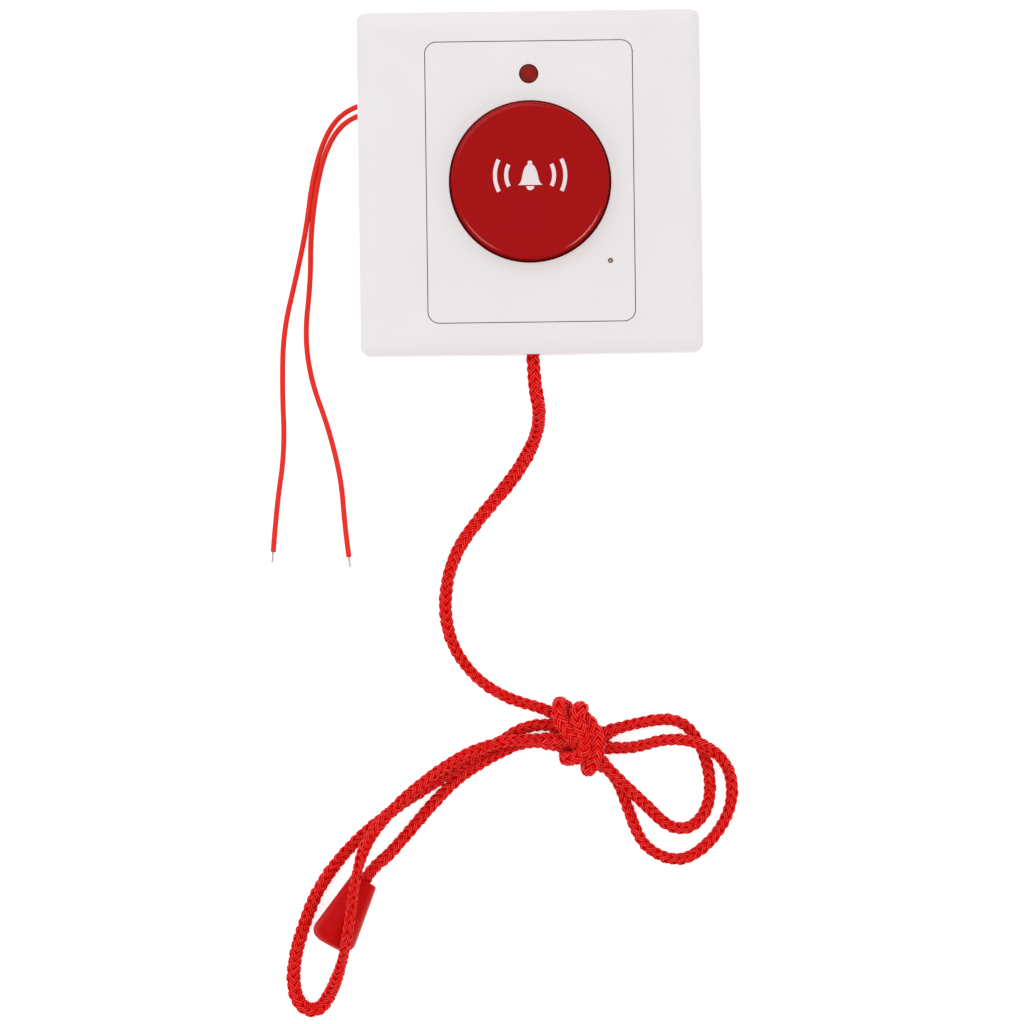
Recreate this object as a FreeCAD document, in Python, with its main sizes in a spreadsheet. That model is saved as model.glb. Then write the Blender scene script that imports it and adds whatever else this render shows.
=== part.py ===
import FreeCAD, Part
import math
import os
import re
import Sketcher
from FreeCAD import Placement, Rotation, Vector

# Emergency call button: a square wall plate with a big red push button, a pull cord with its
# grip, and two lead wires. It lies on its back: +Z is the front, +Y is up on the wall, and the
# origin is on the table under the middle of the rear box. Millimetres.

SIZES = {
    # clip-on front frame
    "PlateWidth": 86.5, "PlateHeight": 86.5, "PlateCorner": 2.4, "FrameDepth": 9,
    "FaceWeb": 2.2, "SkirtWall": 1.8, "BevelWidth": 4.8, "BevelDrop": 1.7, "BevelEdge": 0.5,
    "InnerEdge": 1.2, "FramePlay": 0.3, "CatchDepth": 0.7, "CatchSpan": 8, "CatchPlace": 20,
    "CatchLevel": 3.6, "PryWidth": 8, "PryRise": 1.2, "PryPlace": 24,
    # housing with the rear box that goes into the wall
    "BoxWidth": 50, "BoxHeight": 72, "BoxDepth": 20, "BoxWall": 1.8, "BoxFloor": 2,
    "BoxCorner": 3, "BoxFootEdge": 1, "FlangeThick": 2, "FlangeCorner": 1.5,
    "FixSpacing": 60.3, "FixSlotLength": 8, "FixSlotWidth": 4.2, "FixRim": 1.6, "FixRimRise": 0.8,
    "HookThick": 1.2, "HookLip": 0.8, "HookLipRise": 0.8,
    "PostDiameter": 3.2, "PostX": 25.4, "PostY": 34.6,
    "WirePitch": 2.4, "WireLevel": 9.2, "WirePlace": 19.4, "WireDiameter": 1.4, "WirePlay": 0.3,
    # flush centre panel
    "PanelWidth": 52, "PanelHeight": 70.5, "PanelCorner": 2.8, "PanelGap": 0.2, "PanelEdge": 0.2,
    "RingMargin": 1.5, "RingThick": 1.2, "RingBand": 3.5, "RingNotch": 20,
    "LegThick": 1.6, "LegWidth": 6, "LegInset": 1, "LegUpper": 24, "LegLower": 28,
    "LegReach": 6.2, "BarbDepth": 1.8, "BarbHeight": 1.8, "BarbPlay": 0.5,
    "LampHole": 4.9, "LampPlace": 27.1, "SleeveWall": 1.1, "SleeveLength": 2,
    "PinHole": 1.3, "PinY": -20.1, "PinSleeve": 3.2,
    # push button
    "ButtonDiameter": 40.2, "ButtonGap": 0.3, "ButtonProud": 3, "ButtonCrown": 0.7,
    "ButtonEdge": 1.6, "ButtonWall": 1.8, "ButtonTop": 2.2, "ButtonTravel": 2,
    "CollarWall": 1.65, "CollarLength": 4.7, "LipReach": 1.3, "LipThick": 1.2, "LipPlay": 0.4,
    "PusherDiameter": 8, "SpringRadius": 7.6, "SpringWire": 0.9, "SpringTurns": 5,
    "SpringRimRadius": 9.2, "SpringRimWall": 1, "SpringRimRise": 1.2,
    # circuit board and what stands on it
    "BoardThick": 1.6, "BoardRise": 8.4, "BoardPlay": 0.3, "BossDiameter": 6,
    "BossInset": 8.2, "BossEndInset": 4.7, "PilotDiameter": 2, "PilotDepth": 6.5,
    "ScrewShank": 1.9, "ScrewLength": 7, "ScrewHead": 3.8, "ScrewHeadRise": 1.5,
    "SwitchSide": 8.5, "SwitchRise": 7, "StemSide": 3.8, "StemPlay": 0.08, "StemRise": 4,
    "LensDiameter": 4.7, "LensFlange": 5.6, "LensFlangeRise": 1, "LensProud": 0.35,
    "LensCrown": 0.4, "LensEdge": 0.25, "LensLength": 8.6,
    "LeadSide": 0.5, "LeadPitch": 2.54, "LeadHole": 0.9,
    "ResetSide": 6, "ResetMargin": 0.25, "ResetRise": 3.6, "PlungerDiameter": 3.5, "PlungerPlay": 0.08,
    "PlungerInside": 1.3, "PlungerTravel": 0.25, "PlungerGap": 0.6, "PlungerTip": 0.9,
    "PlungerTipDepth": 0.3,
    "ResistorDiameter": 2.4, "ResistorLength": 6.5, "ResistorX": -12, "ResistorY": 13,
    "SolderDiameter": 2.8, "SolderTip": 1, "SolderX": -17,
    # pull cord mechanism
    "CordDiameter": 3.2, "CordPlay": 0.3, "CordLevel": 4.4, "CordHole": 4.2, "CordHoleEdge": 0.5,
    "SliderWidth": 13.8, "SliderHeight": 4.2, "SliderFrontGap": 1.1, "SliderInset": 10.4,
    "SliderPlay": 0.2, "NoseThick": 1.6, "NoseReach": 8.6, "PullTravel": 2.5,
    "RailWall": 1.5, "RailHeight": 4, "RailLength": 6,
    "AnchorWide": 6.2, "AnchorLong": 5.6, "AnchorHigh": 4.4, "AnchorPlay": 0.15,
    "PullSwitchX": 5, "PullSwitchWidth": 7, "PullSwitchLong": 4.6, "PullSwitchRise": 6.5,
    "PullStem": 2.4, "PullStemPlay": 0.05, "PullStemOut": 3, "PullStemIn": 1.2, "PullStemLevel": 4,
    # grip at the end of the cord
    "GripLength": 19, "GripDome": 1.4, "GripTop": 7.2, "GripBase": 12.4, "GripTopEdge": 0.8,
    "GripRim": 2.8, "GripMouth": 6.2, "GripWall": 1.2, "GripRoof": 2.5, "GripHole": 3.8, "GripKnotWide": 4.9,
    "GripKnotLong": 5,
}

# How near an edge has to lie to the place that a test names.
SLACK = 0.01

# Levels and faces that several pieces share, worked out from the sizes.
DERIVED = {
    "Face": "(BoxDepth + FrameDepth)",
    "WebBack": "(Face - FaceWeb)",
    "FlangeTop": "(BoxDepth + FlangeThick)",
    "CavityHalfX": "(BoxWidth / 2 - BoxWall)",
    "CavityHalfY": "(BoxHeight / 2 - BoxWall)",
    "SkirtHalfX": "(PlateWidth / 2 - SkirtWall)",
    "SkirtHalfY": "(PlateHeight / 2 - SkirtWall)",
    "BossX": "(CavityHalfX - BossInset)",
    "BossY": "(CavityHalfY - BossEndInset)",
    "PinX": "(CavityHalfX - ResetMargin - ResetSide / 2)",
    "GripShoulder": "(GripLength - GripDome)",
    "BoardBack": "(BoxFloor + BoardRise)",
    "BoardTop": "(BoardBack + BoardThick)",
    "RingBack": "(WebBack - RingThick)",
    "ButtonTopLevel": "(Face + ButtonProud)",
    "CollarEnd": "(WebBack - CollarLength)",
    "LipTop": "(CollarEnd - LipPlay)",
    "LipBack": "(LipTop - LipThick)",
    "StemTop": "(BoardTop + SwitchRise + StemRise)",
    "CordZ": "(BoxDepth + CordLevel)",
    "SliderEnd": "(PullTravel + SliderFrontGap - SkirtHalfY)",
    "SliderBack": "(SliderInset - CavityHalfY)",
    "SliderBase": "(FlangeTop + SliderPlay)",
    "SliderTop": "(SliderBase + SliderHeight)",
    "NoseFace": "(SliderBack - NoseThick)",
    "AnchorBack": "(NoseFace - AnchorLong - 2 * AnchorPlay)",
    "PullAxisZ": "(BoardTop + PullStemLevel)",
    "PullSwitchFace": "(NoseFace - PullStemOut)",
    "LegOuter": "(CavityHalfX - LegInset)",
    "LegEnd": "(BoxDepth - LegReach)",
    "CatchBase": "(BoxDepth + CatchLevel)",
}

doc = FreeCAD.newDocument("CallButton")
sheet = doc.addObject("Spreadsheet::Sheet", "Sizes")


def fill_sheet():
    """Writes each size into the sheet: its name in column A, its number with an alias in column B."""
    for row, (alias, number) in enumerate(SIZES.items(), start=1):
        sheet.set(f"A{row}", alias)
        sheet.set(f"B{row}", str(number))
        sheet.setAlias(f"B{row}", alias)
    doc.recompute()


def bound(text):
    """Turns a formula in size names into an expression on the sheet's cells."""
    for _ in range(8):
        text = re.sub(r"[A-Z]\w+", lambda word: DERIVED.get(word.group(), word.group()), text)
    return re.sub(r"[A-Z]\w+", lambda word: "Sizes." + word.group(), text)


def mm(text):
    """The number that a formula in size names gives."""
    return float(sheet.evalExpression(bound(text)))


def new_body(name):
    body = doc.addObject("PartDesign::Body", name)
    body.Label = name
    return body


def new_sketch(body, role, level="0"):
    """A sketch on one of the body's own origin planes, moved along its normal to a level."""
    sketch = body.newObject("Sketcher::SketchObject", body.Name + "_sketch")
    plane = next(item for item in body.Origin.OriginFeatures if item.Role == role)
    sketch.AttachmentSupport = [(plane, "")]
    sketch.MapMode = "FlatFace"
    sketch.setExpression(".AttachmentOffset.Base.z", bound(level))
    return sketch


def pin_point(sketch, index, vertex, x, y):
    """Fixes one vertex at a place that two formulas give."""
    for kind, text in (("DistanceX", x), ("DistanceY", y)):
        number = sketch.addConstraint(Sketcher.Constraint(kind, -1, 1, index, vertex, mm(text)))
        sketch.setExpression(f"Constraints[{number}]", bound(text))


def draw_circle(sketch, x, y, diameter):
    circle = Part.Circle(Vector(mm(x), mm(y), 0), Vector(0, 0, 1), mm(diameter) / 2)
    index = sketch.addGeometry(circle, False)
    number = sketch.addConstraint(Sketcher.Constraint("Diameter", index, mm(diameter)))
    sketch.setExpression(f"Constraints[{number}]", bound(diameter))
    pin_point(sketch, index, 3, x, y)


def draw_outline(sketch, corners):
    """A closed outline through the corners. A corner with four items starts an arc to the next
    corner: x, y, the arc centre's x, and 1 for anticlockwise or -1 for clockwise."""
    ends = []
    for number, corner in enumerate(corners):
        start = Vector(mm(corner[0]), mm(corner[1]), 0)
        after = corners[(number + 1) % len(corners)]
        end = Vector(mm(after[0]), mm(after[1]), 0)
        if len(corner) == 2:
            index = sketch.addGeometry(Part.LineSegment(start, end), False)
            first, last = 1, 2
        else:
            index, first, last = draw_arc(sketch, start, end, corner[2], corner[3])
        ends.append((index, first, last))
        pin_point(sketch, index, first, corner[0], corner[1])
    for number, (index, first, _) in enumerate(ends):
        before = ends[number - 1]
        sketch.addConstraint(Sketcher.Constraint("Coincident", before[0], before[2], index, first))


def draw_arc(sketch, start, end, centre_x, turn):
    """An arc between two points whose centre lies at a given x, on the points' bisector."""
    x = mm(centre_x)
    middle = (start + end) / 2
    span = end - start
    y = middle.y - (x - middle.x) * span.x / span.y
    centre = Vector(x, y, 0)
    angles = [math.atan2(point.y - y, point.x - x) for point in (start, end)]
    if turn < 0:
        angles.reverse()
    circle = Part.Circle(centre, Vector(0, 0, 1), (start - centre).Length)
    index = sketch.addGeometry(Part.ArcOfCircle(circle, angles[0], angles[1]), False)
    number = sketch.addConstraint(Sketcher.Constraint("DistanceX", -1, 1, index, 3, x))
    sketch.setExpression(f"Constraints[{number}]", bound(centre_x))
    return (index, 1, 2) if turn > 0 else (index, 2, 1)


def draw_box(sketch, x_low, x_high, y_low, y_high):
    draw_outline(sketch, [(x_low, y_low), (x_high, y_low), (x_high, y_high), (x_low, y_high)])


def draw_centred(sketch, width, height, x="0", y="0"):
    draw_box(sketch, f"{x} - {width} / 2", f"{x} + {width} / 2",
             f"{y} - {height} / 2", f"{y} + {height} / 2")


def draw_slot(sketch, x, y, length, width):
    """A slot along x with round ends, as long as given from end to end."""
    left = f"{x} - ({length} - {width}) / 2"
    right = f"{x} + ({length} - {width}) / 2"
    low = f"{y} - {width} / 2"
    high = f"{y} + {width} / 2"
    draw_outline(sketch, [(left, low), (right, low, right, 1), (right, high), (left, high, left, 1)])


def tip_volume(body):
    doc.recompute()
    return body.Shape.Volume if body.Tip else 0.0


def pad(body, sketch, length, down=False):
    """Adds material from the sketch, and checks that there is more of it after."""
    before = tip_volume(body)
    feature = body.newObject("PartDesign::Pad", body.Name + "_pad")
    feature.Profile = sketch
    feature.setExpression("Length", bound(length))
    feature.Reversed = down
    check_step(body, feature, before, 1)
    return feature


def pocket(body, sketch, depth, along=False):
    """Cuts the sketch into the body, against its normal or along it, and checks the cut."""
    before = tip_volume(body)
    feature = body.newObject("PartDesign::Pocket", body.Name + "_pocket")
    feature.Profile = sketch
    feature.setExpression("Length", bound(depth))
    feature.Reversed = along
    check_step(body, feature, before, -1)
    return feature


def revolve(body, sketch):
    """A full turn about the sketch's vertical axis."""
    feature = body.newObject("PartDesign::Revolution", body.Name + "_turned")
    feature.Profile = sketch
    feature.ReferenceAxis = (sketch, ["V_Axis"])
    feature.Angle = 360
    check_step(body, feature, 0.0, 1)
    return feature


def check_step(body, feature, before, sign):
    body.Tip = feature
    after = tip_volume(body)
    if not feature.isValid() or (after - before) * sign <= 1e-6:
        raise RuntimeError(f"{feature.Name} changed the volume from {before:.3f} to {after:.3f}")


def edges_where(feature, test):
    """The names of the feature's edges that a test on the edge picks."""
    edges = enumerate(feature.Shape.Edges, start=1)
    return [f"Edge{number}" for number, edge in edges if test(edge)]


def round_edges(body, radius, test, kind="Fillet"):
    """A fillet or chamfer on the edges of the tip that the test picks."""
    doc.recompute()
    base = body.Tip
    names = edges_where(base, test)
    if not names:
        raise RuntimeError(f"no edge to round on {body.Name}")
    feature = body.newObject("PartDesign::" + kind, body.Name + "_" + kind.lower())
    feature.Base = (base, names)
    feature.setExpression("Radius" if kind == "Fillet" else "Size", bound(radius))
    body.Tip = feature
    doc.recompute()
    if not feature.isValid():
        raise RuntimeError(f"{feature.Name} failed at radius {mm(radius)}")
    return feature


def is_upright(edge):
    """True for a straight edge along z."""
    if edge.Degenerated or edge.Curve.TypeId != "Part::GeomLine":
        return False
    low, high = edge.BoundBox.ZMin, edge.BoundBox.ZMax
    return high - low > 0.5 and abs(edge.Length - (high - low)) < SLACK


def corner_at(x, y):
    """A test for an upright edge at plus or minus x and y."""
    def test(edge):
        point = edge.CenterOfMass
        return is_upright(edge) and abs(abs(point.x) - mm(x)) < SLACK and abs(abs(point.y) - mm(y)) < SLACK
    return test


def lies_at(level, reach=None):
    """A test for an edge that lies flat at a height, and inside a distance of the axis if given."""
    def test(edge):
        box = edge.BoundBox
        flat = abs(box.ZMin - mm(level)) < SLACK and abs(box.ZMax - mm(level)) < SLACK
        if reach is None:
            return flat
        return flat and max(abs(box.XMin), abs(box.XMax), abs(box.YMin), abs(box.YMax)) < mm(reach) + SLACK
    return test


def bevel_side(sketch, half):
    """The waste beyond the plate's rounded border, on both sides of one profile."""
    inner = f"{half} - BevelWidth"
    outer = f"{half} + 1"
    drop = "Face - BevelDrop"
    top = "Face + 1"
    draw_outline(sketch, [(half, drop), (outer, drop), (outer, top), (inner, top),
                          (inner, "Face", inner, -1)])
    draw_outline(sketch, [(f"-({half})", drop), (f"-({outer})", drop), (f"-({outer})", top),
                          (f"-({inner})", top), (f"-({inner})", "Face", f"-({inner})", 1)])


def is_border_edge(edge):
    """True for the edge where the rounded border meets the upright outer wall."""
    box = edge.BoundBox
    low = mm("Face - BevelDrop")
    near_wall = max(box.XMax, -box.XMin) > mm("PlateWidth / 2 - PlateCorner") and \
        max(box.YMax, -box.YMin) > mm("PlateHeight / 2 - PlateCorner")
    straight = abs(box.ZMin - low) < SLACK and abs(box.ZMax - low) < SLACK
    rises = abs(box.ZMin - low) < SLACK and box.ZMax < mm("Face") - 0.1
    return straight or (near_wall and rises)


def is_cord_hole_edge(edge):
    """True for the cord hole's round edge on the outer wall."""
    box = edge.BoundBox
    return abs(box.YMin + mm("PlateHeight / 2")) < SLACK and abs(box.YMax + mm("PlateHeight / 2")) < SLACK \
        and edge.Curve.TypeId == "Part::GeomCircle"


def make_front_frame():
    """The clip-on frame: a square cover with a softly rounded border, a window for the panel, a
    hole for the cord in its lower wall, catches inside and a notch to prise it off."""
    body = new_body("front_frame")
    outer = new_sketch(body, "XY_Plane", "BoxDepth")
    draw_centred(outer, "PlateWidth", "PlateHeight")
    pad(body, outer, "FrameDepth")
    round_edges(body, "PlateCorner", corner_at("PlateWidth / 2", "PlateHeight / 2"))
    along_x = new_sketch(body, "XZ_Plane", "PlateHeight / 2 + 1")
    bevel_side(along_x, "PlateWidth / 2")
    pocket(body, along_x, "PlateHeight + 2")
    along_y = new_sketch(body, "YZ_Plane", "PlateWidth / 2 + 1")
    bevel_side(along_y, "PlateHeight / 2")
    pocket(body, along_y, "PlateWidth + 2")
    round_edges(body, "BevelEdge", is_border_edge)
    hollow = new_sketch(body, "XY_Plane", "BoxDepth")
    draw_centred(hollow, "(2 * SkirtHalfX)", "(2 * SkirtHalfY)")
    pocket(body, hollow, "WebBack - BoxDepth", along=True)
    round_edges(body, "PlateCorner - SkirtWall", corner_at("SkirtHalfX", "SkirtHalfY"))
    round_edges(body, "InnerEdge", lies_at("WebBack"))
    window = new_sketch(body, "XY_Plane", "Face")
    draw_centred(window, "(PanelWidth + 2 * PanelGap)", "(PanelHeight + 2 * PanelGap)")
    pocket(body, window, "FaceWeb")
    round_edges(body, "PanelCorner + PanelGap",
                corner_at("PanelWidth / 2 + PanelGap", "PanelHeight / 2 + PanelGap"))
    cord_hole = new_sketch(body, "XZ_Plane", "PlateHeight / 2 + 0.5")
    draw_circle(cord_hole, "0", "CordZ", "CordHole")
    pocket(body, cord_hole, "SkirtWall + 1")
    round_edges(body, "CordHoleEdge", is_cord_hole_edge)
    catches = new_sketch(body, "XY_Plane", "CatchBase")
    for side in ("-", ""):
        for place in ("-CatchPlace", "CatchPlace"):
            edges = (f"{side}(SkirtHalfX + SkirtWall / 4)", f"{side}(SkirtHalfX - CatchDepth)")
            low, high = sorted(edges, key=mm)
            draw_box(catches, low, high, f"{place} - CatchSpan / 2", f"{place} + CatchSpan / 2")
    pad(body, catches, "CatchDepth")
    notch = new_sketch(body, "XZ_Plane", "PlateHeight / 2 + 0.5")
    draw_box(notch, "PryPlace - PryWidth / 2", "PryPlace + PryWidth / 2",
             "BoxDepth - 1", "BoxDepth + PryRise")
    pocket(body, notch, "SkirtWall + 1")
    return body


def make_back_housing():
    """The housing: a flange on the wall with two screw slots, and the box behind it, with bosses
    for the circuit board, rails for the slider, hooks for the frame and posts for the panel."""
    body = new_body("back_housing")
    box = new_sketch(body, "XY_Plane")
    draw_centred(box, "BoxWidth", "BoxHeight")
    pad(body, box, "BoxDepth")
    round_edges(body, "BoxCorner", corner_at("BoxWidth / 2", "BoxHeight / 2"))
    round_edges(body, "BoxFootEdge", lies_at("0"))
    flange = new_sketch(body, "XY_Plane", "BoxDepth")
    draw_centred(flange, "(2 * SkirtHalfX - 2 * FramePlay)", "(2 * SkirtHalfY - 2 * FramePlay)")
    pad(body, flange, "FlangeThick")
    round_edges(body, "FlangeCorner", corner_at("SkirtHalfX - FramePlay", "SkirtHalfY - FramePlay"))
    cavity = new_sketch(body, "XY_Plane", "FlangeTop")
    draw_centred(cavity, "(2 * CavityHalfX)", "(2 * CavityHalfY)")
    pocket(body, cavity, "FlangeTop - BoxFloor")
    round_edges(body, "BoxCorner - BoxWall", corner_at("CavityHalfX", "CavityHalfY"))
    add_bosses(body)
    add_screw_slots(body)
    add_flange_details(body)
    cut_wall_openings(body)
    return body


def add_bosses(body):
    bosses = new_sketch(body, "XY_Plane", "BoxFloor - BoxFloor / 4")
    for x in ("-BossX", "BossX"):
        for y in ("-BossY", "BossY"):
            draw_circle(bosses, x, y, "BossDiameter")
    pad(body, bosses, "BoardRise + BoxFloor / 4")
    pilots = new_sketch(body, "XY_Plane", "BoardBack")
    for x in ("-BossX", "BossX"):
        for y in ("-BossY", "BossY"):
            draw_circle(pilots, x, y, "PilotDiameter")
    pocket(body, pilots, "PilotDepth")


def add_screw_slots(body):
    rims = new_sketch(body, "XY_Plane", "FlangeTop")
    slots = new_sketch(body, "XY_Plane", "FlangeTop + FixRimRise")
    for x in ("-FixSpacing / 2", "FixSpacing / 2"):
        draw_slot(rims, x, "0", "(FixSlotLength + 2 * FixRim)", "(FixSlotWidth + 2 * FixRim)")
        draw_slot(slots, x, "0", "FixSlotLength", "FixSlotWidth")
    pad(body, rims, "FixRimRise")
    pocket(body, slots, "FixRimRise + FlangeThick")


def add_flange_details(body):
    """Rails beside the slider, posts under the panel's ring, and the four hooks for the frame."""
    rails = new_sketch(body, "XY_Plane", "FlangeTop - FlangeThick / 4")
    for side in ("-", ""):
        inner = f"{side}(SliderWidth / 2 + SliderPlay / 2)"
        outer = f"{side}(SliderWidth / 2 + SliderPlay / 2 + RailWall)"
        low, high = sorted((inner, outer), key=mm)
        draw_box(rails, low, high, "-CavityHalfY - RailLength", "-CavityHalfY")
    pad(body, rails, "RailHeight + FlangeThick / 4")
    posts = new_sketch(body, "XY_Plane", "FlangeTop - FlangeThick / 4")
    for x in ("-PostX", "PostX"):
        for y in ("-PostY", "PostY"):
            draw_circle(posts, x, y, "PostDiameter")
    pad(body, posts, "RingBack - FlangeTop + FlangeThick / 4")
    hooks = new_sketch(body, "XZ_Plane", "CatchPlace + CatchSpan / 2")
    hooks_low = new_sketch(body, "XZ_Plane", "-CatchPlace + CatchSpan / 2")
    for side in ("-", ""):
        draw_hook(hooks, side)
        draw_hook(hooks_low, side)
    pad(body, hooks, "CatchSpan", down=True)
    pad(body, hooks_low, "CatchSpan", down=True)


def draw_hook(sketch, side):
    """A hook's profile: an upright tab with a lip that reaches out over the frame's catch."""
    outer = "(SkirtHalfX - CatchDepth - FramePlay)"
    lip = "(CatchBase + CatchDepth + FramePlay)"
    foot = "FlangeTop - FlangeThick / 4"
    corners = [(f"{outer} - HookThick", foot), (outer, foot), (outer, lip), (f"{outer} + HookLip", lip),
               (outer, f"{lip} + HookLipRise"), (f"{outer} - HookThick", f"{lip} + HookLipRise")]
    draw_outline(sketch, [(f"{side}({x})", z) for x, z in corners])


def cut_wall_openings(body):
    """The windows that the panel's barbs catch in, and the slot that the wires leave by."""
    windows = new_sketch(body, "YZ_Plane", "BoxWidth / 2 + 0.5")
    low = "LegEnd - BarbPlay / 2"
    high = "LegEnd + BarbHeight + BarbPlay"
    for y in ("LegUpper", "-LegLower"):
        draw_box(windows, f"{y} - LegWidth / 2 - BarbPlay", f"{y} + LegWidth / 2 + BarbPlay", low, high)
    pocket(body, windows, "BoxWidth + 1")
    exit_slot = new_sketch(body, "YZ_Plane", "-CavityHalfX + 0.2")
    width = "(WireDiameter + 2 * WirePlay)"
    draw_slot(exit_slot, "WirePlace", "WireLevel", f"(WirePitch + {width})", width)
    pocket(body, exit_slot, "BoxWall + 0.7")


def make_face_panel():
    """The flush panel: a plate with a ring behind the frame's window, a collar round the button,
    sleeves at the lamp and the pin hole, and four legs that snap into the box."""
    body = new_body("face_panel")
    plate = new_sketch(body, "XY_Plane", "WebBack")
    draw_centred(plate, "PanelWidth", "PanelHeight")
    pad(body, plate, "FaceWeb")
    round_edges(body, "PanelCorner", corner_at("PanelWidth / 2", "PanelHeight / 2"))
    round_edges(body, "PanelEdge", lies_at("Face"))
    ring = new_sketch(body, "XY_Plane", "WebBack")
    width = "(PanelWidth + 2 * RingMargin)"
    height = "(PanelHeight + 2 * RingMargin)"
    draw_centred(ring, width, height)
    draw_centred(ring, f"({width} - 2 * RingBand)", f"({height} - 2 * RingBand)")
    pad(body, ring, "RingThick", down=True)
    round_edges(body, "PanelCorner + RingMargin", corner_at(f"{width} / 2", f"{height} / 2"))
    notch = new_sketch(body, "XY_Plane", "WebBack")
    draw_box(notch, "-RingNotch / 2", "RingNotch / 2",
             f"-{height} / 2 - 1", f"-{height} / 2 + RingBand + 0.5")
    pocket(body, notch, "RingThick")
    add_panel_sleeves(body)
    add_panel_legs(body)
    return body


def add_panel_sleeves(body):
    collar = new_sketch(body, "XY_Plane", "WebBack + FaceWeb / 4")
    bore = "(ButtonDiameter + 2 * ButtonGap)"
    draw_circle(collar, "0", "0", f"{bore} + 2 * CollarWall")
    pad(body, collar, "CollarLength + FaceWeb / 4", down=True)
    lamp = new_sketch(body, "XY_Plane", "WebBack + FaceWeb / 4")
    draw_circle(lamp, "0", "LampPlace", "LampHole + 2 * SleeveWall")
    pad(body, lamp, "SleeveLength + FaceWeb / 4", down=True)
    guide = new_sketch(body, "XY_Plane", "WebBack + FaceWeb / 4")
    draw_circle(guide, "PinX", "PinY", "PlungerDiameter + 2 * PlungerGap / 3 + 2 * SleeveWall")
    pad(body, guide, "PinSleeve + FaceWeb / 4", down=True)
    holes = new_sketch(body, "XY_Plane", "Face")
    draw_circle(holes, "0", "0", bore)
    draw_circle(holes, "0", "LampPlace", "LampHole")
    draw_circle(holes, "PinX", "PinY", "PinHole")
    pocket(body, holes, "Face - CollarEnd")
    plunger_room = new_sketch(body, "XY_Plane", "WebBack - PinSleeve")
    draw_circle(plunger_room, "PinX", "PinY", "PlungerDiameter + 2 * PlungerGap / 3")
    pocket(body, plunger_room, "PinSleeve", along=True)


def add_panel_legs(body):
    for y in ("LegUpper", "-LegLower"):
        legs = new_sketch(body, "XZ_Plane", f"-({y}) + LegWidth / 2")
        for side in ("-", ""):
            root = "WebBack + FaceWeb / 4"
            corners = [("LegOuter", root), ("LegOuter - LegThick", root),
                       ("LegOuter - LegThick", "LegEnd"), ("LegOuter", "LegEnd"),
                       ("LegOuter + BarbDepth", "LegEnd + BarbHeight - 0.3"),
                       ("LegOuter + BarbDepth", "LegEnd + BarbHeight"), ("LegOuter", "LegEnd + BarbHeight")]
            draw_outline(legs, [(f"{side}({x})", z) for x, z in corners])
        pad(body, legs, "LegWidth", down=True)


def make_button_cap():
    """The red button: a shallow turned cap with a low crown and a rounded edge, a skirt with a
    lip that holds it under the collar, a pusher over the switch and a rim round the spring."""
    body = new_body("button_cap")
    profile = new_sketch(body, "XZ_Plane")
    radius = "(ButtonDiameter / 2)"
    inner = f"({radius} - ButtonWall)"
    roof = "(ButtonTopLevel - ButtonCrown - ButtonTop)"
    edge = "(ButtonTopLevel - ButtonCrown)"
    pusher = "PusherDiameter / 2"
    rim_end = f"{roof} - SpringRimRise"
    corners = [("0", "StemTop"), (pusher, "StemTop"), (pusher, roof), ("SpringRimRadius", roof),
               ("SpringRimRadius", rim_end), ("SpringRimRadius + SpringRimWall", rim_end),
               ("SpringRimRadius + SpringRimWall", roof), (inner, roof), (inner, "LipBack"),
               (f"{radius} + LipReach", "LipBack"), (f"{radius} + LipReach", "LipTop"),
               (radius, "LipTop"), (radius, edge, "0", 1), ("0", "ButtonTopLevel")]
    draw_outline(profile, corners)
    revolve(body, profile)
    round_edges(body, "ButtonEdge", lambda e: abs(e.BoundBox.ZMin - mm(edge)) < SLACK
                and abs(e.BoundBox.ZMax - mm(edge)) < SLACK and e.BoundBox.XMax > mm(radius) - SLACK)
    return body


def add_part(kind, name, **values):
    """A Part primitive whose properties are bound to formulas."""
    item = doc.addObject("Part::" + kind, name)
    for prop, text in values.items():
        item.setExpression(prop, bound(text))
    return item


def place(item, x="0", y="0", z="0"):
    for axis, text in (("x", x), ("y", y), ("z", z)):
        item.setExpression(f".Placement.Base.{axis}", bound(text))
    return item


def make_coil(name, radius, wire, turns, base, top):
    """A compression spring: a round wire swept along a helix."""
    helix = add_part("Helix", name + "_path", Radius=radius, Height=f"{top} - ({base}) - {wire}",
                     Pitch=f"({top} - ({base}) - {wire}) / {turns}")
    place(helix, z=f"{base} + {wire} / 2")
    section = add_part("Circle", name + "_wire", Radius=f"{wire} / 2")
    section.Placement.Rotation = Rotation(Vector(1, 0, 0), 90)
    place(section, x=radius, z=f"{base} + {wire} / 2")
    coil = doc.addObject("Part::Sweep", name)
    coil.Sections = [section]
    coil.Spine = (helix, [])
    coil.Solid = True
    coil.Frenet = True
    return coil


def make_push_switch():
    """The latching switch under the button: a moulded body with a square stem in its top."""
    body = new_body("push_switch_body")
    base = new_sketch(body, "XY_Plane", "BoardTop")
    draw_centred(base, "SwitchSide", "SwitchSide")
    pad(body, base, "SwitchRise")
    round_edges(body, "SwitchSide / 20", corner_at("SwitchSide / 2", "SwitchSide / 2"))
    bore = new_sketch(body, "XY_Plane", "BoardTop + SwitchRise")
    draw_centred(bore, "(StemSide + 2 * StemPlay)", "(StemSide + 2 * StemPlay)")
    pocket(body, bore, "SwitchRise - 0.4")
    stem = new_body("push_switch_stem")
    shaft = new_sketch(stem, "XY_Plane", "BoardTop + ButtonTravel + 0.7")
    draw_centred(shaft, "StemSide", "StemSide")
    pad(stem, shaft, "StemTop - (BoardTop + ButtonTravel + 0.7)")
    return [body, stem]


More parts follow.
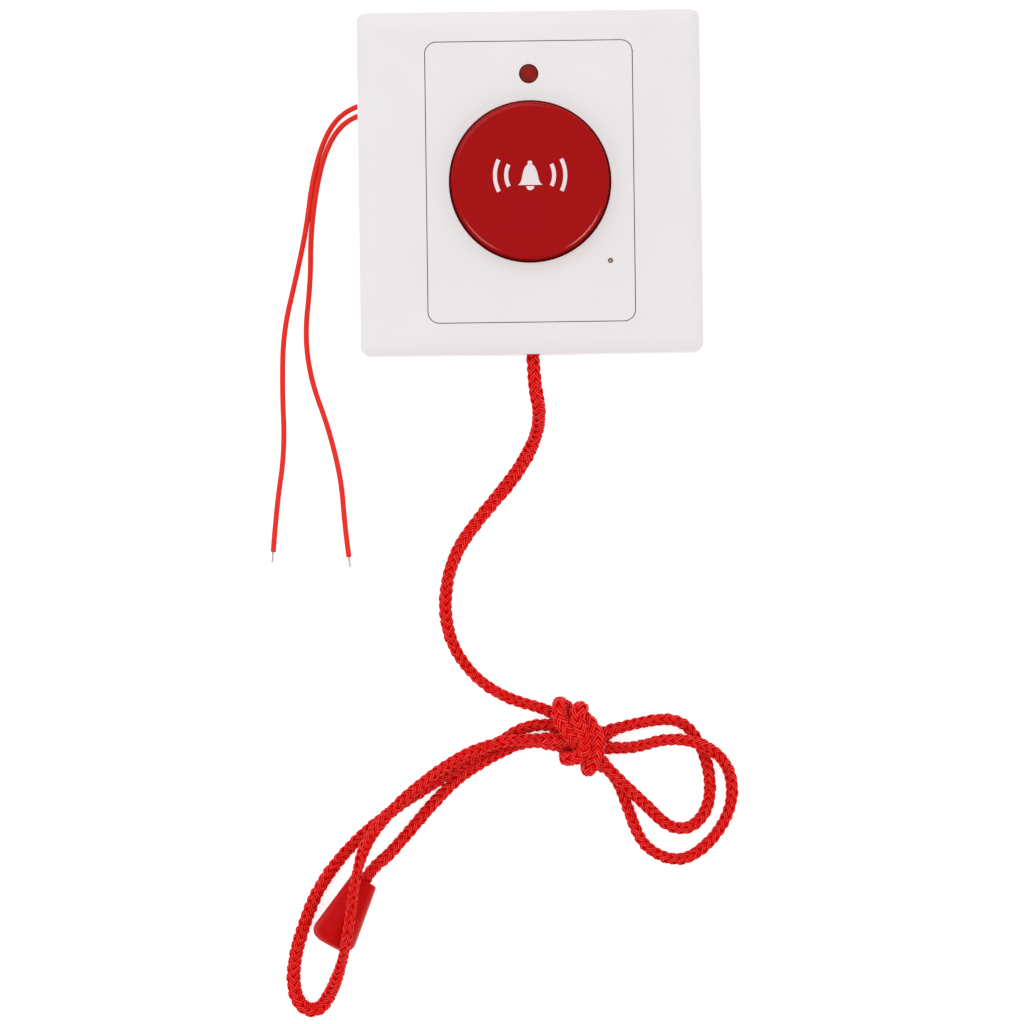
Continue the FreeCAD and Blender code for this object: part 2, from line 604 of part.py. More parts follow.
def make_board():
    """The circuit board: narrower at its ends, where the panel's legs pass it."""
    body = new_body("circuit_board")
    outline = new_sketch(body, "XY_Plane", "BoardBack")
    wide = "(CavityHalfX - BoardPlay)"
    slim = "(LegOuter - LegThick - BoardPlay)"
    end = "(CavityHalfY - BoardPlay - 0.3)"
    high = "(LegUpper - LegWidth / 2 - BoardPlay)"
    low = "(-LegLower + LegWidth / 2 + BoardPlay)"
    right = [(slim, f"-{end}"), (slim, low), (wide, low), (wide, high), (slim, high), (slim, end)]
    left = [(f"-{x}", y) for x, y in reversed(right)]
    draw_outline(outline, right + left)
    pad(body, outline, "BoardThick")
    holes = new_sketch(body, "XY_Plane", "BoardTop")
    for x in ("-BossX", "BossX"):
        for y in ("-BossY", "BossY"):
            draw_circle(holes, x, y, "PilotDiameter + 0.3")
    for x in ("-LeadPitch / 2", "LeadPitch / 2"):
        draw_circle(holes, x, "LampPlace", "LeadHole")
    pocket(body, holes, "BoardThick")
    return body


def make_board_screws():
    """Four pan-head screws that hold the board on its bosses, as one group."""
    screws = []
    for number, (x, y) in enumerate((x, y) for x in ("-BossX", "BossX") for y in ("-BossY", "BossY")):
        head = add_part("Cylinder", f"screw_head_{number}", Radius="ScrewHead / 2", Height="ScrewHeadRise")
        place(head, x, y, "BoardTop")
        shank = add_part("Cylinder", f"screw_shank_{number}", Radius="ScrewShank / 2", Height="ScrewLength")
        place(shank, x, y, "BoardTop - ScrewLength")
        screw = doc.addObject("Part::Fuse", f"screw_{number}")
        screw.Base, screw.Tool = head, shank
        screws.append(screw)
    group = doc.addObject("Part::Compound", "board_screws")
    group.Links = screws
    return group


def make_lamp():
    """The 5 mm lamp: a lens with a low crown and a flange, two leads, and the spacer under it."""
    lens = new_body("lamp_lens")
    profile = new_sketch(lens, "XZ_Plane")
    radius = "(LensDiameter / 2)"
    top = "(Face + LensProud)"
    base = f"({top} - LensLength)"
    shoulder = f"{base} + LensFlangeRise"
    draw_outline(profile, [("0", base), ("LensFlange / 2", base), ("LensFlange / 2", shoulder),
                           (radius, shoulder), (radius, f"{top} - LensCrown", "0", 1), ("0", top)])
    revolve(lens, profile)
    round_edges(lens, "LensEdge", lies_at(f"{top} - LensCrown"))
    place(lens, y="LampPlace")
    leads = doc.addObject("Part::Compound", "lamp_leads")
    length = f"{base} - BoardBack + 1"
    wires = []
    for number, x in enumerate(("-LeadPitch / 2", "LeadPitch / 2")):
        wire = add_part("Box", f"lamp_lead_{number}", Length="LeadSide", Width="LeadSide", Height=length)
        wires.append(place(wire, f"{x} - LeadSide / 2", "LampPlace - LeadSide / 2", "BoardBack - 1"))
    leads.Links = wires
    spacer = new_body("lamp_spacer")
    tube = new_sketch(spacer, "XY_Plane", "BoardTop")
    draw_circle(tube, "0", "LampPlace", "LensFlange")
    for x in ("-LeadPitch / 2", "LeadPitch / 2"):
        draw_circle(tube, x, "LampPlace", "LeadHole")
    pad(spacer, tube, f"{base} - BoardTop")
    return [lens, leads, spacer]


def make_reset_switch():
    """The small tactile switch behind the pin hole: a square body, and a tall plunger whose thin
    tip stands in the hole."""
    body = new_body("reset_switch_body")
    base = new_sketch(body, "XY_Plane", "BoardTop")
    draw_centred(base, "ResetSide", "ResetSide", "PinX", "PinY")
    pad(body, base, "ResetRise")
    bore = new_sketch(body, "XY_Plane", "BoardTop + ResetRise")
    draw_circle(bore, "PinX", "PinY", "PlungerDiameter + 2 * PlungerPlay")
    pocket(body, bore, "PlungerInside + PlungerTravel + 0.15")
    plunger = new_body("reset_plunger")
    rod = new_sketch(plunger, "XY_Plane", "BoardTop + ResetRise - PlungerInside")
    draw_circle(rod, "PinX", "PinY", "PlungerDiameter")
    pad(plunger, rod, "WebBack - PlungerGap - (BoardTop + ResetRise - PlungerInside)")
    round_edges(plunger, "PlungerDiameter / 8", lies_at("WebBack - PlungerGap"))
    tip = new_sketch(plunger, "XY_Plane", "WebBack - PlungerGap - PlungerInside / 2")
    draw_circle(tip, "PinX", "PinY", "PlungerTip")
    pad(plunger, tip, "Face - PlungerTipDepth - (WebBack - PlungerGap - PlungerInside / 2)")
    round_edges(plunger, "PlungerTip / 5", lies_at("Face - PlungerTipDepth"))
    return [body, plunger]


def make_resistor():
    """The lamp's series resistor, a small moulded cylinder that lies on the board."""
    body = add_part("Cylinder", "lamp_resistor", Radius="ResistorDiameter / 2", Height="ResistorLength")
    body.Placement.Rotation = Rotation(Vector(0, 1, 0), 90)
    return place(body, "ResistorX - ResistorLength / 2", "ResistorY", "BoardTop + ResistorDiameter / 2")


def make_pull_slider():
    """The slider that the cord pulls: a tray with a channel for the cord, a window for its stop
    knot, and a nose that reaches down behind the pull switch's stem."""
    body = new_body("pull_slider")
    half = "SliderWidth / 2"
    base = new_sketch(body, "XY_Plane", "SliderBase")
    draw_box(base, f"-{half}", half, "SliderEnd", "SliderBack")
    pad(body, base, "SliderHeight")
    nose = new_sketch(body, "XY_Plane", "SliderBase + SliderHeight / 4")
    draw_box(nose, f"-{half}", half, "NoseFace", "SliderBack")
    pad(body, nose, "NoseReach + SliderHeight / 4", down=True)
    window = new_sketch(body, "XY_Plane", "SliderTop")
    reach = "(AnchorWide / 2 + AnchorPlay)"
    draw_box(window, f"-{reach}", reach, "AnchorBack", "NoseFace")
    pocket(body, window, "SliderHeight")
    channel = new_sketch(body, "XZ_Plane", "-SliderEnd + 0.5")
    side = "(CordDiameter / 2 + CordPlay / 2)"
    draw_box(channel, f"-{side}", side, f"CordZ - {side}", "SliderTop + 1")
    pocket(body, channel, "AnchorBack - SliderEnd + 1")
    round_edges(body, "SliderPlay * 2", corner_at(half, "-SliderEnd"))
    return body


def make_pull_switch():
    """The switch that the slider's nose presses: a body on the board with a round stem."""
    body = new_body("pull_switch_body")
    base = new_sketch(body, "XY_Plane", "BoardTop")
    draw_box(base, "PullSwitchX - PullSwitchWidth / 2", "PullSwitchX + PullSwitchWidth / 2",
             "PullSwitchFace - PullSwitchLong", "PullSwitchFace")
    pad(body, base, "PullSwitchRise")
    bore = new_sketch(body, "XZ_Plane", "-PullSwitchFace")
    draw_circle(bore, "PullSwitchX", "PullAxisZ", "PullStem + 2 * PullStemPlay")
    pocket(body, bore, "PullStemIn + PullTravel + 0.4", along=True)
    stem = new_body("pull_switch_stem")
    rod = new_sketch(stem, "XZ_Plane", "-NoseFace")
    draw_circle(rod, "PullSwitchX", "PullAxisZ", "PullStem")
    pad(stem, rod, "PullStemOut + PullStemIn")
    return [body, stem]


def make_solder():
    """The two solder joints under the board that hold the lead wires."""
    joints = doc.addObject("Part::Compound", "lead_solder")
    cones = []
    for number, y in enumerate(("WirePlace + WirePitch / 2", "WirePlace - WirePitch / 2")):
        height = "BoardBack - WireLevel + WireDiameter / 2"
        cone = add_part("Cone", f"solder_{number}", Radius1="SolderTip / 2", Radius2="SolderDiameter / 2",
                        Height=height)
        cones.append(place(cone, "SolderX", y, "WireLevel - WireDiameter / 2"))
    joints.Links = cones
    return joints


def make_grip():
    """The cone-shaped grip: its wide end is a low dome with a round shoulder, and it is hollow from
    there up to its roof."""
    body = new_body("cord_grip")
    profile = new_sketch(body, "XZ_Plane")
    top = "(GripTop / 2)"
    wide = "(GripBase / 2)"
    hole = "(GripHole / 2)"
    corners = [(hole, "0"), (top, "0"), (wide, "GripShoulder", "0", 1), ("GripMouth / 2", "GripLength"),
               (f"{top} - GripWall", "GripRoof"), (hole, "GripRoof")]
    draw_outline(profile, corners)
    revolve(body, profile)
    round_edges(body, "GripTopEdge", lambda e: lies_at("0")(e) and e.BoundBox.XMax > mm(top) - SLACK)
    round_edges(body, "GripRim", lies_at("GripShoulder"))
    return body


def grip_place():
    """Where the grip lies: its narrow end, and its axis, tilted so that its side is on the table."""
    tilt = math.atan((mm("GripBase") - mm("GripTop")) / 2 / mm("GripShoulder"))
    start = Vector(GRIP_START[0], GRIP_START[1], mm("GripTop") / 2 * math.cos(tilt))
    flat = Vector(GRIP_HEADING[0], GRIP_HEADING[1], 0).normalize()
    axis = flat * math.cos(tilt) + Vector(0, 0, math.sin(tilt))
    return Placement(start, Rotation(Vector(0, 0, 1), axis))


# The cord and the wires, as points chosen by hand. Heights on the table are the cord's radius.
GRIP_START = (-45.4, -178.5)
GRIP_HEADING = (-1.12, -2)
KNOT_PLACE = (11, -141.6, 4.95)
KNOT_SIZE = (7.2, 8.8, 4.85)
KNOT_TURN = -18

CORD_RUN = [(0, -30, 24.4), (0, -49.5, 24.4), (2.1, -58.2, 17.5), (0, -66, 7.5), (-5.2, -74.3, 1.7),
            (-13.5, -83.6, 1.65), (-21.2, -93.8, 1.65), (-24.2, -107.5, 1.65), (-21, -120.5, 1.65),
            (-10.5, -131, 1.65), (6.5, -135.6, 3.4)]
CORD_LOOP_A = [(14.5, -141.3, 2.2), (25.5, -138.6, 1.65), (37.2, -137.2, 1.65), (42.6, -143.4, 1.65),
               (45.4, -152.5, 1.65), (44.9, -160.7, 1.65), (40.8, -166.1, 1.65), (34.8, -166.4, 1.9),
               (29.3, -161, 2.6), (22.1, -153.7, 5), (14.5, -145.9, 5.2)]
CORD_LOOP_B = [(14, -144.4, 1.8), (24.5, -145.5, 1.65), (34.5, -142.1, 5.4), (44.6, -144.2, 5.6),
               (50.7, -150.8, 1.65), (51.2, -160, 1.65), (46.2, -169.2, 1.65), (37.5, -175.5, 1.65),
               (27.6, -171.5, 1.65), (23.8, -161.5, 1.65), (21, -152.8, 1.65), (14.5, -147.5, 1.65)]
CORD_FAR_LOOP = [(8, -139.3, 2.4), (-2.2, -138.2, 1.65), (-13.6, -143.6, 1.65), (-25.2, -149.4, 1.65),
                 (-36.9, -158.1, 1.65), (-47.8, -168.2, 1.65), (-57.1, -179.5, 1.65), (-61.8, -190.8, 1.65),
                 (-64.4, -200.5, 1.65), (-64.4, -207.6, 1.65), (-62.1, -212.2, 1.65), (-57.7, -212.7, 1.65),
                 (-54.8, -208.5, 2.2), (-51.6, -200.5, 9.5), (-49.6, -193, 16), (-48.2, -184.5, 15.5),
                 (-47.1, -176, 12), (-46.2, -169.5, 6.5), (-42.6, -165, 5.1), (-34.8, -159.1, 5.1),
                 (-22.6, -151, 5.1), (-10.6, -144.9, 5.1), (-1, -142.2, 5), (8, -142.6, 5)]
CORD_TO_GRIP = [(8, -144.2, 1.8), (-3, -142.7, 1.65), (-12.2, -147.1, 1.65), (-20.7, -152.4, 1.65),
                (-27.2, -158.8, 1.65), (-33.4, -166, 1.65), (-39.2, -172.4, 2.2), (-43.9, -175.9, 3.2),
                (-47, -181.4, 4)]
LEAD_WIRE_1 = [(-17, 20.6, 9.2), (-31, 20.6, 9.2), (-41.5, 24, 7), (-49.5, 21.5, 1.6),
               (-54, 14.5, 0.8), (-56.9, 4, 0.75), (-58.5, -8, 0.75), (-61.4, -21, 0.75),
               (-64.8, -35, 0.75), (-64.8, -50, 0.75), (-65, -66, 0.75), (-67.3, -81, 0.75),
               (-68.3, -92.6, 0.75)]
LEAD_WIRE_2 = [(-17, 18.2, 9.2), (-31, 18.2, 9.2), (-41, 21.4, 7), (-48.4, 19.6, 1.6),
               (-52.5, 12.5, 0.8), (-55.3, 2, 0.75), (-57.2, -10, 0.75), (-57.6, -22, 0.75),
               (-59.3, -36, 0.75), (-57.5, -48, 0.75), (-52.8, -60, 0.75), (-50, -74, 0.75),
               (-49.3, -86, 0.75), (-48.4, -94.2, 0.75)]
ARC_SHARE = 0.45
TIP_LENGTH = 2.8
TIP_DIAMETER = 0.7


def make_tube(name, route, diameter):
    """A plain cord: straight runs joined by tangent arcs, each as large as its two runs allow."""
    points = [Vector(*point) for point in route]
    edges = []
    radii = []
    start = points[0]
    for number in range(1, len(points) - 1):
        before, corner, after = points[number - 1:number + 2]
        back = (before - corner).normalize()
        ahead = (after - corner).normalize()
        half_turn = (math.pi - back.getAngle(ahead)) / 2
        cut = ARC_SHARE * min((before - corner).Length, (after - corner).Length)
        radius = cut / math.tan(half_turn)
        first = corner + back * cut
        last = corner + ahead * cut
        bisector = (back + ahead).normalize()
        middle = corner + bisector * (radius / math.cos(half_turn) - radius)
        edges.append(Part.LineSegment(start, first).toShape())
        edges.append(Part.Arc(first, middle, last).toShape())
        radii.append(radius)
        start = last
    edges.append(Part.LineSegment(start, points[-1]).toShape())
    path = Part.Wire(edges)
    ring = Part.Wire(Part.makeCircle(diameter / 2, points[0], points[1] - points[0]))
    tube = path.makePipeShell([ring], True, False)
    wanted = math.pi * diameter ** 2 / 4 * path.Length
    if abs(tube.Volume / wanted - 1) > 0.01:
        raise RuntimeError(f"{name} has {tube.Volume:.1f} mm3 and should have {wanted:.1f}")
    print(name, "length", round(path.Length, 1), "radii", [round(radius, 1) for radius in radii])
    return add_shape(name, tube)


def add_shape(name, shape, placement=None):
    item = doc.addObject("Part::Feature", name)
    item.Shape = shape
    if placement is not None:
        item.Placement = placement
    return item


def make_tip(name, route):
    """The bare tinned end of a lead wire, in line with its last run."""
    end = Vector(*route[-1])
    heading = end - Vector(*route[-2])
    return add_shape(name, Part.makeCylinder(TIP_DIAMETER / 2, TIP_LENGTH, end, heading))


def make_ball(name, wide, long, high, placement):
    """An ellipsoid for a tight knot: its size along its own x, y and z."""
    ball = add_part("Ellipsoid", name, Radius1=f"{high} / 2", Radius2=f"{wide} / 2", Radius3=f"{long} / 2")
    ball.Placement = placement
    return ball


def make_cords():
    """The pull cord's stretches, its knots and grip, and the two lead wires."""
    cord = mm("CordDiameter")
    wire = mm("WireDiameter")
    pieces = [make_tube("pull_cord", CORD_RUN, cord), make_tube("cord_loop_a", CORD_LOOP_A, cord),
              make_tube("cord_loop_b", CORD_LOOP_B, cord), make_tube("cord_far_loop", CORD_FAR_LOOP, cord),
              make_tube("cord_to_grip", CORD_TO_GRIP, cord)]
    knot = add_part("Ellipsoid", "cord_knot", Radius1=str(KNOT_SIZE[2]), Radius2=str(KNOT_SIZE[0]),
                    Radius3=str(KNOT_SIZE[1]))
    knot.Placement = Placement(Vector(*KNOT_PLACE), Rotation(Vector(0, 0, 1), KNOT_TURN))
    anchor = make_ball("anchor_knot", "AnchorWide", "AnchorLong", "AnchorHigh", Placement())
    place(anchor, y="(AnchorBack + NoseFace) / 2", z="CordZ")
    grip = make_grip()
    grip.Placement = grip_place()
    inside = Placement(Vector(0, 0, mm("GripRoof + 0.1 + GripKnotLong / 2")), Rotation())
    stop = make_ball("grip_knot", "GripKnotWide", "GripKnotWide", "GripKnotLong", grip_place() * inside)
    pieces += [knot, anchor, grip, stop]
    for name, route in (("lead_wire_1", LEAD_WIRE_1), ("lead_wire_2", LEAD_WIRE_2)):
        pieces.append(make_tube(name, route, wire))
        pieces.append(make_tip(name.replace("wire", "tip"), route))
    return pieces


def build():
    fill_sheet()
    pieces = [make_front_frame(), make_back_housing(), make_face_panel(), make_button_cap()]
    pieces.append(make_coil("button_spring", "SpringRadius", "SpringWire", "SpringTurns", "BoardTop",
                            "(ButtonTopLevel - ButtonCrown - ButtonTop)"))
    pieces += make_push_switch()
    pieces += [make_board(), make_board_screws()]
    pieces += make_lamp()
    pieces += make_reset_switch()
    pieces += [make_resistor(), make_pull_slider()]
    pieces += make_pull_switch()
    pieces.append(make_solder())
    pieces += make_cords()
    return pieces


def write_pieces(pieces):
    """Checks every object and each piece's solid, then writes one file for each piece."""
    doc.recompute()
    for item in doc.Objects:
        if {"Invalid", "Error"} & set(item.State):
            raise RuntimeError(f"{item.Name} is {item.State}")
    for piece in pieces:
        piece.Label = piece.Name
        if piece.Shape.isNull() or not piece.Shape.isValid():
            raise RuntimeError(f"{piece.Name} has no valid shape")
    os.makedirs("parts", exist_ok=True)
    for piece in pieces:
        piece.Shape.exportStep(f"parts/{piece.Name}.step")
        print(piece.Name, len(piece.Shape.Solids), "solid", round(piece.Shape.Volume, 2), "mm3")


write_pieces(build())
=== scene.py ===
import math

import bpy
import numpy as np
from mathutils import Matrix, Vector


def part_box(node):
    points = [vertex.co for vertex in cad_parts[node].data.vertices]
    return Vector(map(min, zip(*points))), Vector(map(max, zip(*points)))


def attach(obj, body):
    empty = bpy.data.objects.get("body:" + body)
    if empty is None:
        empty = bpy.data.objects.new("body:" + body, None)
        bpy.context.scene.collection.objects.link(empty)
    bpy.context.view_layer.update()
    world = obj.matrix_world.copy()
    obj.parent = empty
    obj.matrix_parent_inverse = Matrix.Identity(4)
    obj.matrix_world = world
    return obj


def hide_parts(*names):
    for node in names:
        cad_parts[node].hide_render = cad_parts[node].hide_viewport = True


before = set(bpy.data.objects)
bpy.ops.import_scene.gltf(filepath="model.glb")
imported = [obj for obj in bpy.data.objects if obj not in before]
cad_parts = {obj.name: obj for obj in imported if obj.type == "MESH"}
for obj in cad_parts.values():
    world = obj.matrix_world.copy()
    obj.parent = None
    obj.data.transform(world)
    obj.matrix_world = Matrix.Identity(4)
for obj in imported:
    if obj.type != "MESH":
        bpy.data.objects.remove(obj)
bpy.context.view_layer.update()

# camera
# The photograph looks straight down on the object from about 0.7 m above the table. The camera is
# turned by under a degree, because the plate stands a little askew in the picture.
CAMERA_HEIGHT = 0.700
CAMERA_OVER = (-0.00565, -0.08299)
CAMERA_TURN = math.radians(-0.76)
PICTURE_PIXELS = 1024
FOCAL_PIXELS = 2670.6
SENSOR_WIDTH = 36.0

camera_data = bpy.data.cameras.new("camera")
camera_data.sensor_width = SENSOR_WIDTH
camera_data.lens = SENSOR_WIDTH * FOCAL_PIXELS / PICTURE_PIXELS
camera = bpy.data.objects.new("camera", camera_data)
camera.location = (*CAMERA_OVER, CAMERA_HEIGHT)
camera.rotation_euler = (0, 0, CAMERA_TURN)
bpy.context.collection.objects.link(camera)
bpy.context.scene.camera = camera
bpy.context.scene.view_settings.view_transform = "Standard"

# pull cord
# The cord is one length of braided polyester, 3.2 mm thick: twelve strands, six each way round, that
# pass over two and under two. It leaves the plate, is tied in a slack knot with two loops on the
# right and a long loop on the left, and ends in the grip.
MILLIMETRE = 0.001
CORD_DIAMETER = 0.0032
BRAID_LEAD = 0.0126          # length in which a strand goes once round
STRANDS_EACH_WAY = 6
STRAND_RING = 0.00099        # radius of the ring on which the strands' middles lie
STRAND_RISE = 0.00030        # how far a strand rises over the ones that it crosses
STRAND_WIDTH = 0.00104
STRAND_THICKNESS = 0.00072
# a strand's outline, in halves of its width and thickness: two yarns side by side over a blunt keel
STRAND_OUTLINE = np.array([(-1, -0.4), (-0.55, 0.9), (0, 0.3), (0.55, 0.9), (1, -0.4), (0, -1)])
CORE_RADIUS = STRAND_RING - STRAND_THICKNESS / 4      # of the core that fills the braid
STRAND_SLACK = 0.00007       # how far a strand strays outwards or inwards where it is loose or tight
SLACK_LENGTH = 0.0071
SLACK_OFFSET = 2.4           # radians from one strand's slack to the next one's
ROLLS = ((0.35, 0.029), (0.5, 0.083))    # the cord's turns about itself: radians and length of each
BRAID_STEP = 0.00069         # length between two rings of a strand's corners

# The route is the CAD's, in millimetres. Beside the knot the far loop's two strands are moved by a
# few millimetres to lie on one another as in the photograph, and the knot's wraps are added here.
CORD_RUN = [(0, -30, 24.4), (0, -49.5, 24.4), (2.1, -58.2, 17.5), (0, -66, 7.5), (-5.2, -74.3, 1.7),
            (-13.5, -83.6, 1.65), (-21.2, -93.8, 1.65), (-24.2, -107.5, 1.65), (-21, -120.5, 1.65),
            (-10.5, -131, 1.65), (6.5, -135.6, 3.4)]
LOOP_A = [(25.5, -138.6, 1.65), (37.2, -137.2, 1.65), (42.6, -143.4, 1.65),
          (45.4, -152.5, 1.65), (44.9, -160.7, 1.65), (40.8, -166.1, 1.65), (34.8, -166.4, 1.9),
          (29.3, -161, 2.6), (22.1, -153.7, 5), (14.5, -145.9, 5.2)]
LOOP_B = [(14, -144.4, 1.8), (24.5, -145.5, 1.65), (34.5, -142.1, 5.4), (44.6, -144.2, 5.6),
          (50.7, -150.8, 1.65), (51.2, -160, 1.65), (46.2, -169.2, 1.65), (37.5, -175.5, 1.65),
          (27.6, -171.5, 1.65), (23.8, -161.5, 1.65), (21, -152.8, 1.65), (14.5, -147.5, 1.65)]
FAR_LOOP = [(8, -139.3, 2.4), (-2.2, -138.2, 1.65), (-13.2, -145.5, 1.65), (-24.6, -152.2, 1.65),
            (-36.7, -159.6, 1.65), (-47.8, -168.2, 1.65), (-57.1, -179.5, 1.65), (-61.8, -190.8, 1.65),
            (-64.4, -200.5, 1.65), (-64.4, -207.6, 1.65), (-62.1, -212.2, 1.65), (-57.7, -212.7, 1.65),
            (-54.8, -208.5, 2.2), (-51.6, -200.5, 9.5), (-49.6, -193, 16), (-48.2, -184.5, 15.5),
            (-47.1, -176, 12), (-45.2, -169.5, 6.5), (-41.8, -164.3, 5.1), (-34.4, -156.6, 5.1),
            (-22.6, -147.6, 5.1), (-10.6, -142.6, 5.1), (-1, -142.2, 5), (8, -142.6, 5)]
CORD_TO_GRIP = [(8, -144.2, 1.8), (-3, -142.7, 1.65), (-12.2, -147.1, 1.65), (-20.7, -152.4, 1.65),
                (-27.2, -158.8, 1.65), (-33.4, -166, 1.65), (-39.2, -172.4, 2.2), (-43.9, -175.9, 3.2),
                (-47, -181.4, 4)]
# The knot's wraps: up the middle from the lower left lobe to the upper right one, from under that
# turn up to the upper left lobe, and down the right side to the lower lobe.
KNOT_WRAPS = [(7.6, -141.5, 2.2), (7.7, -147.3, 1.9), (7.7, -147.3, 7), (10.5, -146.9, 8.4),
              (12.7, -145.2, 8.6), (12.6, -141.8, 8.6), (11, -138.8, 8.6), (10.2, -136.4, 8.4),
              (11.2, -134.2, 7.8), (11.8, -134.4, 2.2), (11.3, -139.7, 1.7), (13.4, -147, 2.4),
              (12.6, -146, 5.2), (10.4, -143.2, 7.2), (8.4, -140.2, 8.3), (5.9, -137.2, 8.3),
              (5.9, -132.9, 7.6), (6.4, -133.1, 2.2), (9.2, -135.4, 2.8), (12.2, -136.6, 5.2),
              (14.3, -138.4, 7.2), (15.6, -141.3, 7.9), (15.8, -144.6, 8.2), (14.8, -147.5, 7.6),
              (13.5, -150, 7), (13, -150.2, 1.9), (14.6, -146.4, 1.65), (16.5, -141.4, 1.65)]
# where three stretches pass through the knot, between its wraps
LOOP_A_TO_FAR_LOOP = (11.2, -144.2, 4.6)
FAR_LOOP_TO_LOOP_B = (11.2, -141.6, 4.4)
LOOP_B_TO_GRIP = (11.2, -145.6, 2.6)

# How much wider and how much higher than round the cord is drawn: as it lies, and what is added
# where the knot presses it flat, where it hangs free over the grip, and in a whole flat place.
WIDTH_SHARES = (1.03, 0.28, -0.26, 1.0)
HEIGHT_SHARES = (1.0, -0.12, 0.08, -0.5)
# The knot presses it along a line through the knot's middle, turned from the plate's width.
KNOT_MIDDLE = (11.0, -141.7)             # this and the next values but the turn in millimetres
KNOT_TURN = math.radians(-18)
KNOT_HALF_LENGTH = 9.6       # how far the pressing reaches along that line
KNOT_FADE = 2.5              # the last stretch of it, where the pressing fades
KNOT_SIDES = 14              # how far it reaches to the left and right of the middle
FREE_HEIGHT = 7              # where the cord starts to hang free
FREE_RISE = 5                # the height from there in which it comes to hang wholly free
FREE_BELOW = -160            # the y above which it never hangs free
# Places where the cord lies flatter and so looks wider, or rounder where the last number is below
# nought: x, y and reach in millimetres, and the share of a whole flat place.
FLAT_PLACES = [(1, -48, 22, 0.13), (-10, -82, 22, 0.16), (-23, -108, 12, 0.05), (-14, -127, 12, -0.04),
               (-62, -192, 26, 0.13), (-60, -212, 10, 0.1)]


def follow_spline(points):
    """Reads the points of the smooth NURBS line that has the route's points as control points."""
    curve = bpy.data.curves.new("route", "CURVE")
    curve.dimensions = "3D"
    line = curve.splines.new("NURBS")
    line.points.add(len(points) - 1)
    control = np.ones((len(points), 4))
    control[:, :3] = np.array(points) * MILLIMETRE
    line.points.foreach_set("co", control.ravel())
    line.order_u = 3
    line.use_endpoint_u = True
    line.resolution_u = 16
    holder = bpy.data.objects.new("route", curve)
    mesh = bpy.data.meshes.new_from_object(holder)
    read = np.empty(len(mesh.vertices) * 3)
    mesh.vertices.foreach_get("co", read)
    bpy.data.objects.remove(holder)
    bpy.data.meshes.remove(mesh)
    bpy.data.curves.remove(curve)
    return read.reshape(-1, 3)


def even_steps(line, step):
    """Points at equal distances along a line, by its running length, and that length at each."""
    run = np.concatenate(([0], np.cumsum(np.linalg.norm(np.diff(line, axis=0), axis=1))))
    places = np.linspace(0, run[-1], int(run[-1] / step) + 1)
    return np.column_stack([np.interp(places, run, line[:, axis]) for axis in range(3)]), places


def carried_sides(line):
    """Side and up along a line: each side is the last one, less its share along the line.

    The first is square to the line's start and to z, or to y where the line starts nearly upright.
    """
    tangent = np.gradient(line, axis=0)
    tangent /= np.linalg.norm(tangent, axis=1)[:, None]
    side = np.empty_like(line)
    last = np.cross(tangent[0], (0, 0, 1) if abs(tangent[0][2]) < 0.9 else (0, 1, 0))
    for i, along in enumerate(tangent):
        last = last - along * (last @ along)
        last /= np.linalg.norm(last)
        side[i] = last
    return side, np.cross(side, tangent)


def add_piece(name, corners, faces, uv=None, smooth=True):
    """Makes a mesh object at the origin from corner points, faces and one UV pair per face corner."""
    mesh = bpy.data.meshes.new(name)
    mesh.from_pydata(np.asarray(corners).tolist(), [], faces)
    if uv is not None:
        layer = mesh.uv_layers.new(name="pattern")
        layer.data.foreach_set("uv", np.asarray(uv, float).ravel())
    mesh.polygons.foreach_set("use_smooth", [smooth] * len(mesh.polygons))
    mesh.update()
    piece = bpy.data.objects.new(name, mesh)
    bpy.context.collection.objects.link(piece)
    return piece


def skin_rings(rings, lengths):
    """Corners, faces and UVs of closed sleeves: rings is sleeve by step by corner by xyz.

    Each sleeve's ends are closed by one face. U runs along in metres, from its own whole metre for
    each sleeve, so that no two have the same wear and painted glints, and V runs once round.
    """
    sleeves, steps, sides, _ = rings.shape
    index = np.arange(sleeves * steps * sides).reshape(sleeves, steps, sides)
    ahead, beside = index[:, 1:], np.roll(index, -1, axis=2)
    quads = np.stack((index[:, :-1], beside[:, :-1], beside[:, 1:], ahead), axis=-1).reshape(-1, 4)
    start, end = index[:, 0, ::-1], index[:, -1]
    u = np.broadcast_to(lengths[None, :, None] + np.arange(sleeves)[:, None, None], index.shape)
    v = np.broadcast_to(np.arange(sides)[None, None, :] / sides, index.shape)
    step_v = 1 / sides
    pairs = [(u[:, :-1], v[:, :-1]), (u[:, :-1], v[:, :-1] + step_v),
             (u[:, 1:], v[:, 1:] + step_v), (u[:, 1:], v[:, 1:])]
    uv = np.stack([np.stack(pair, axis=-1) for pair in pairs], axis=-2).reshape(-1, 2)
    caps = np.zeros((2 * sleeves * sides, 2))
    faces = quads.tolist() + start.tolist() + end.tolist()
    return rings.reshape(-1, 3), faces, np.vstack((uv, caps))


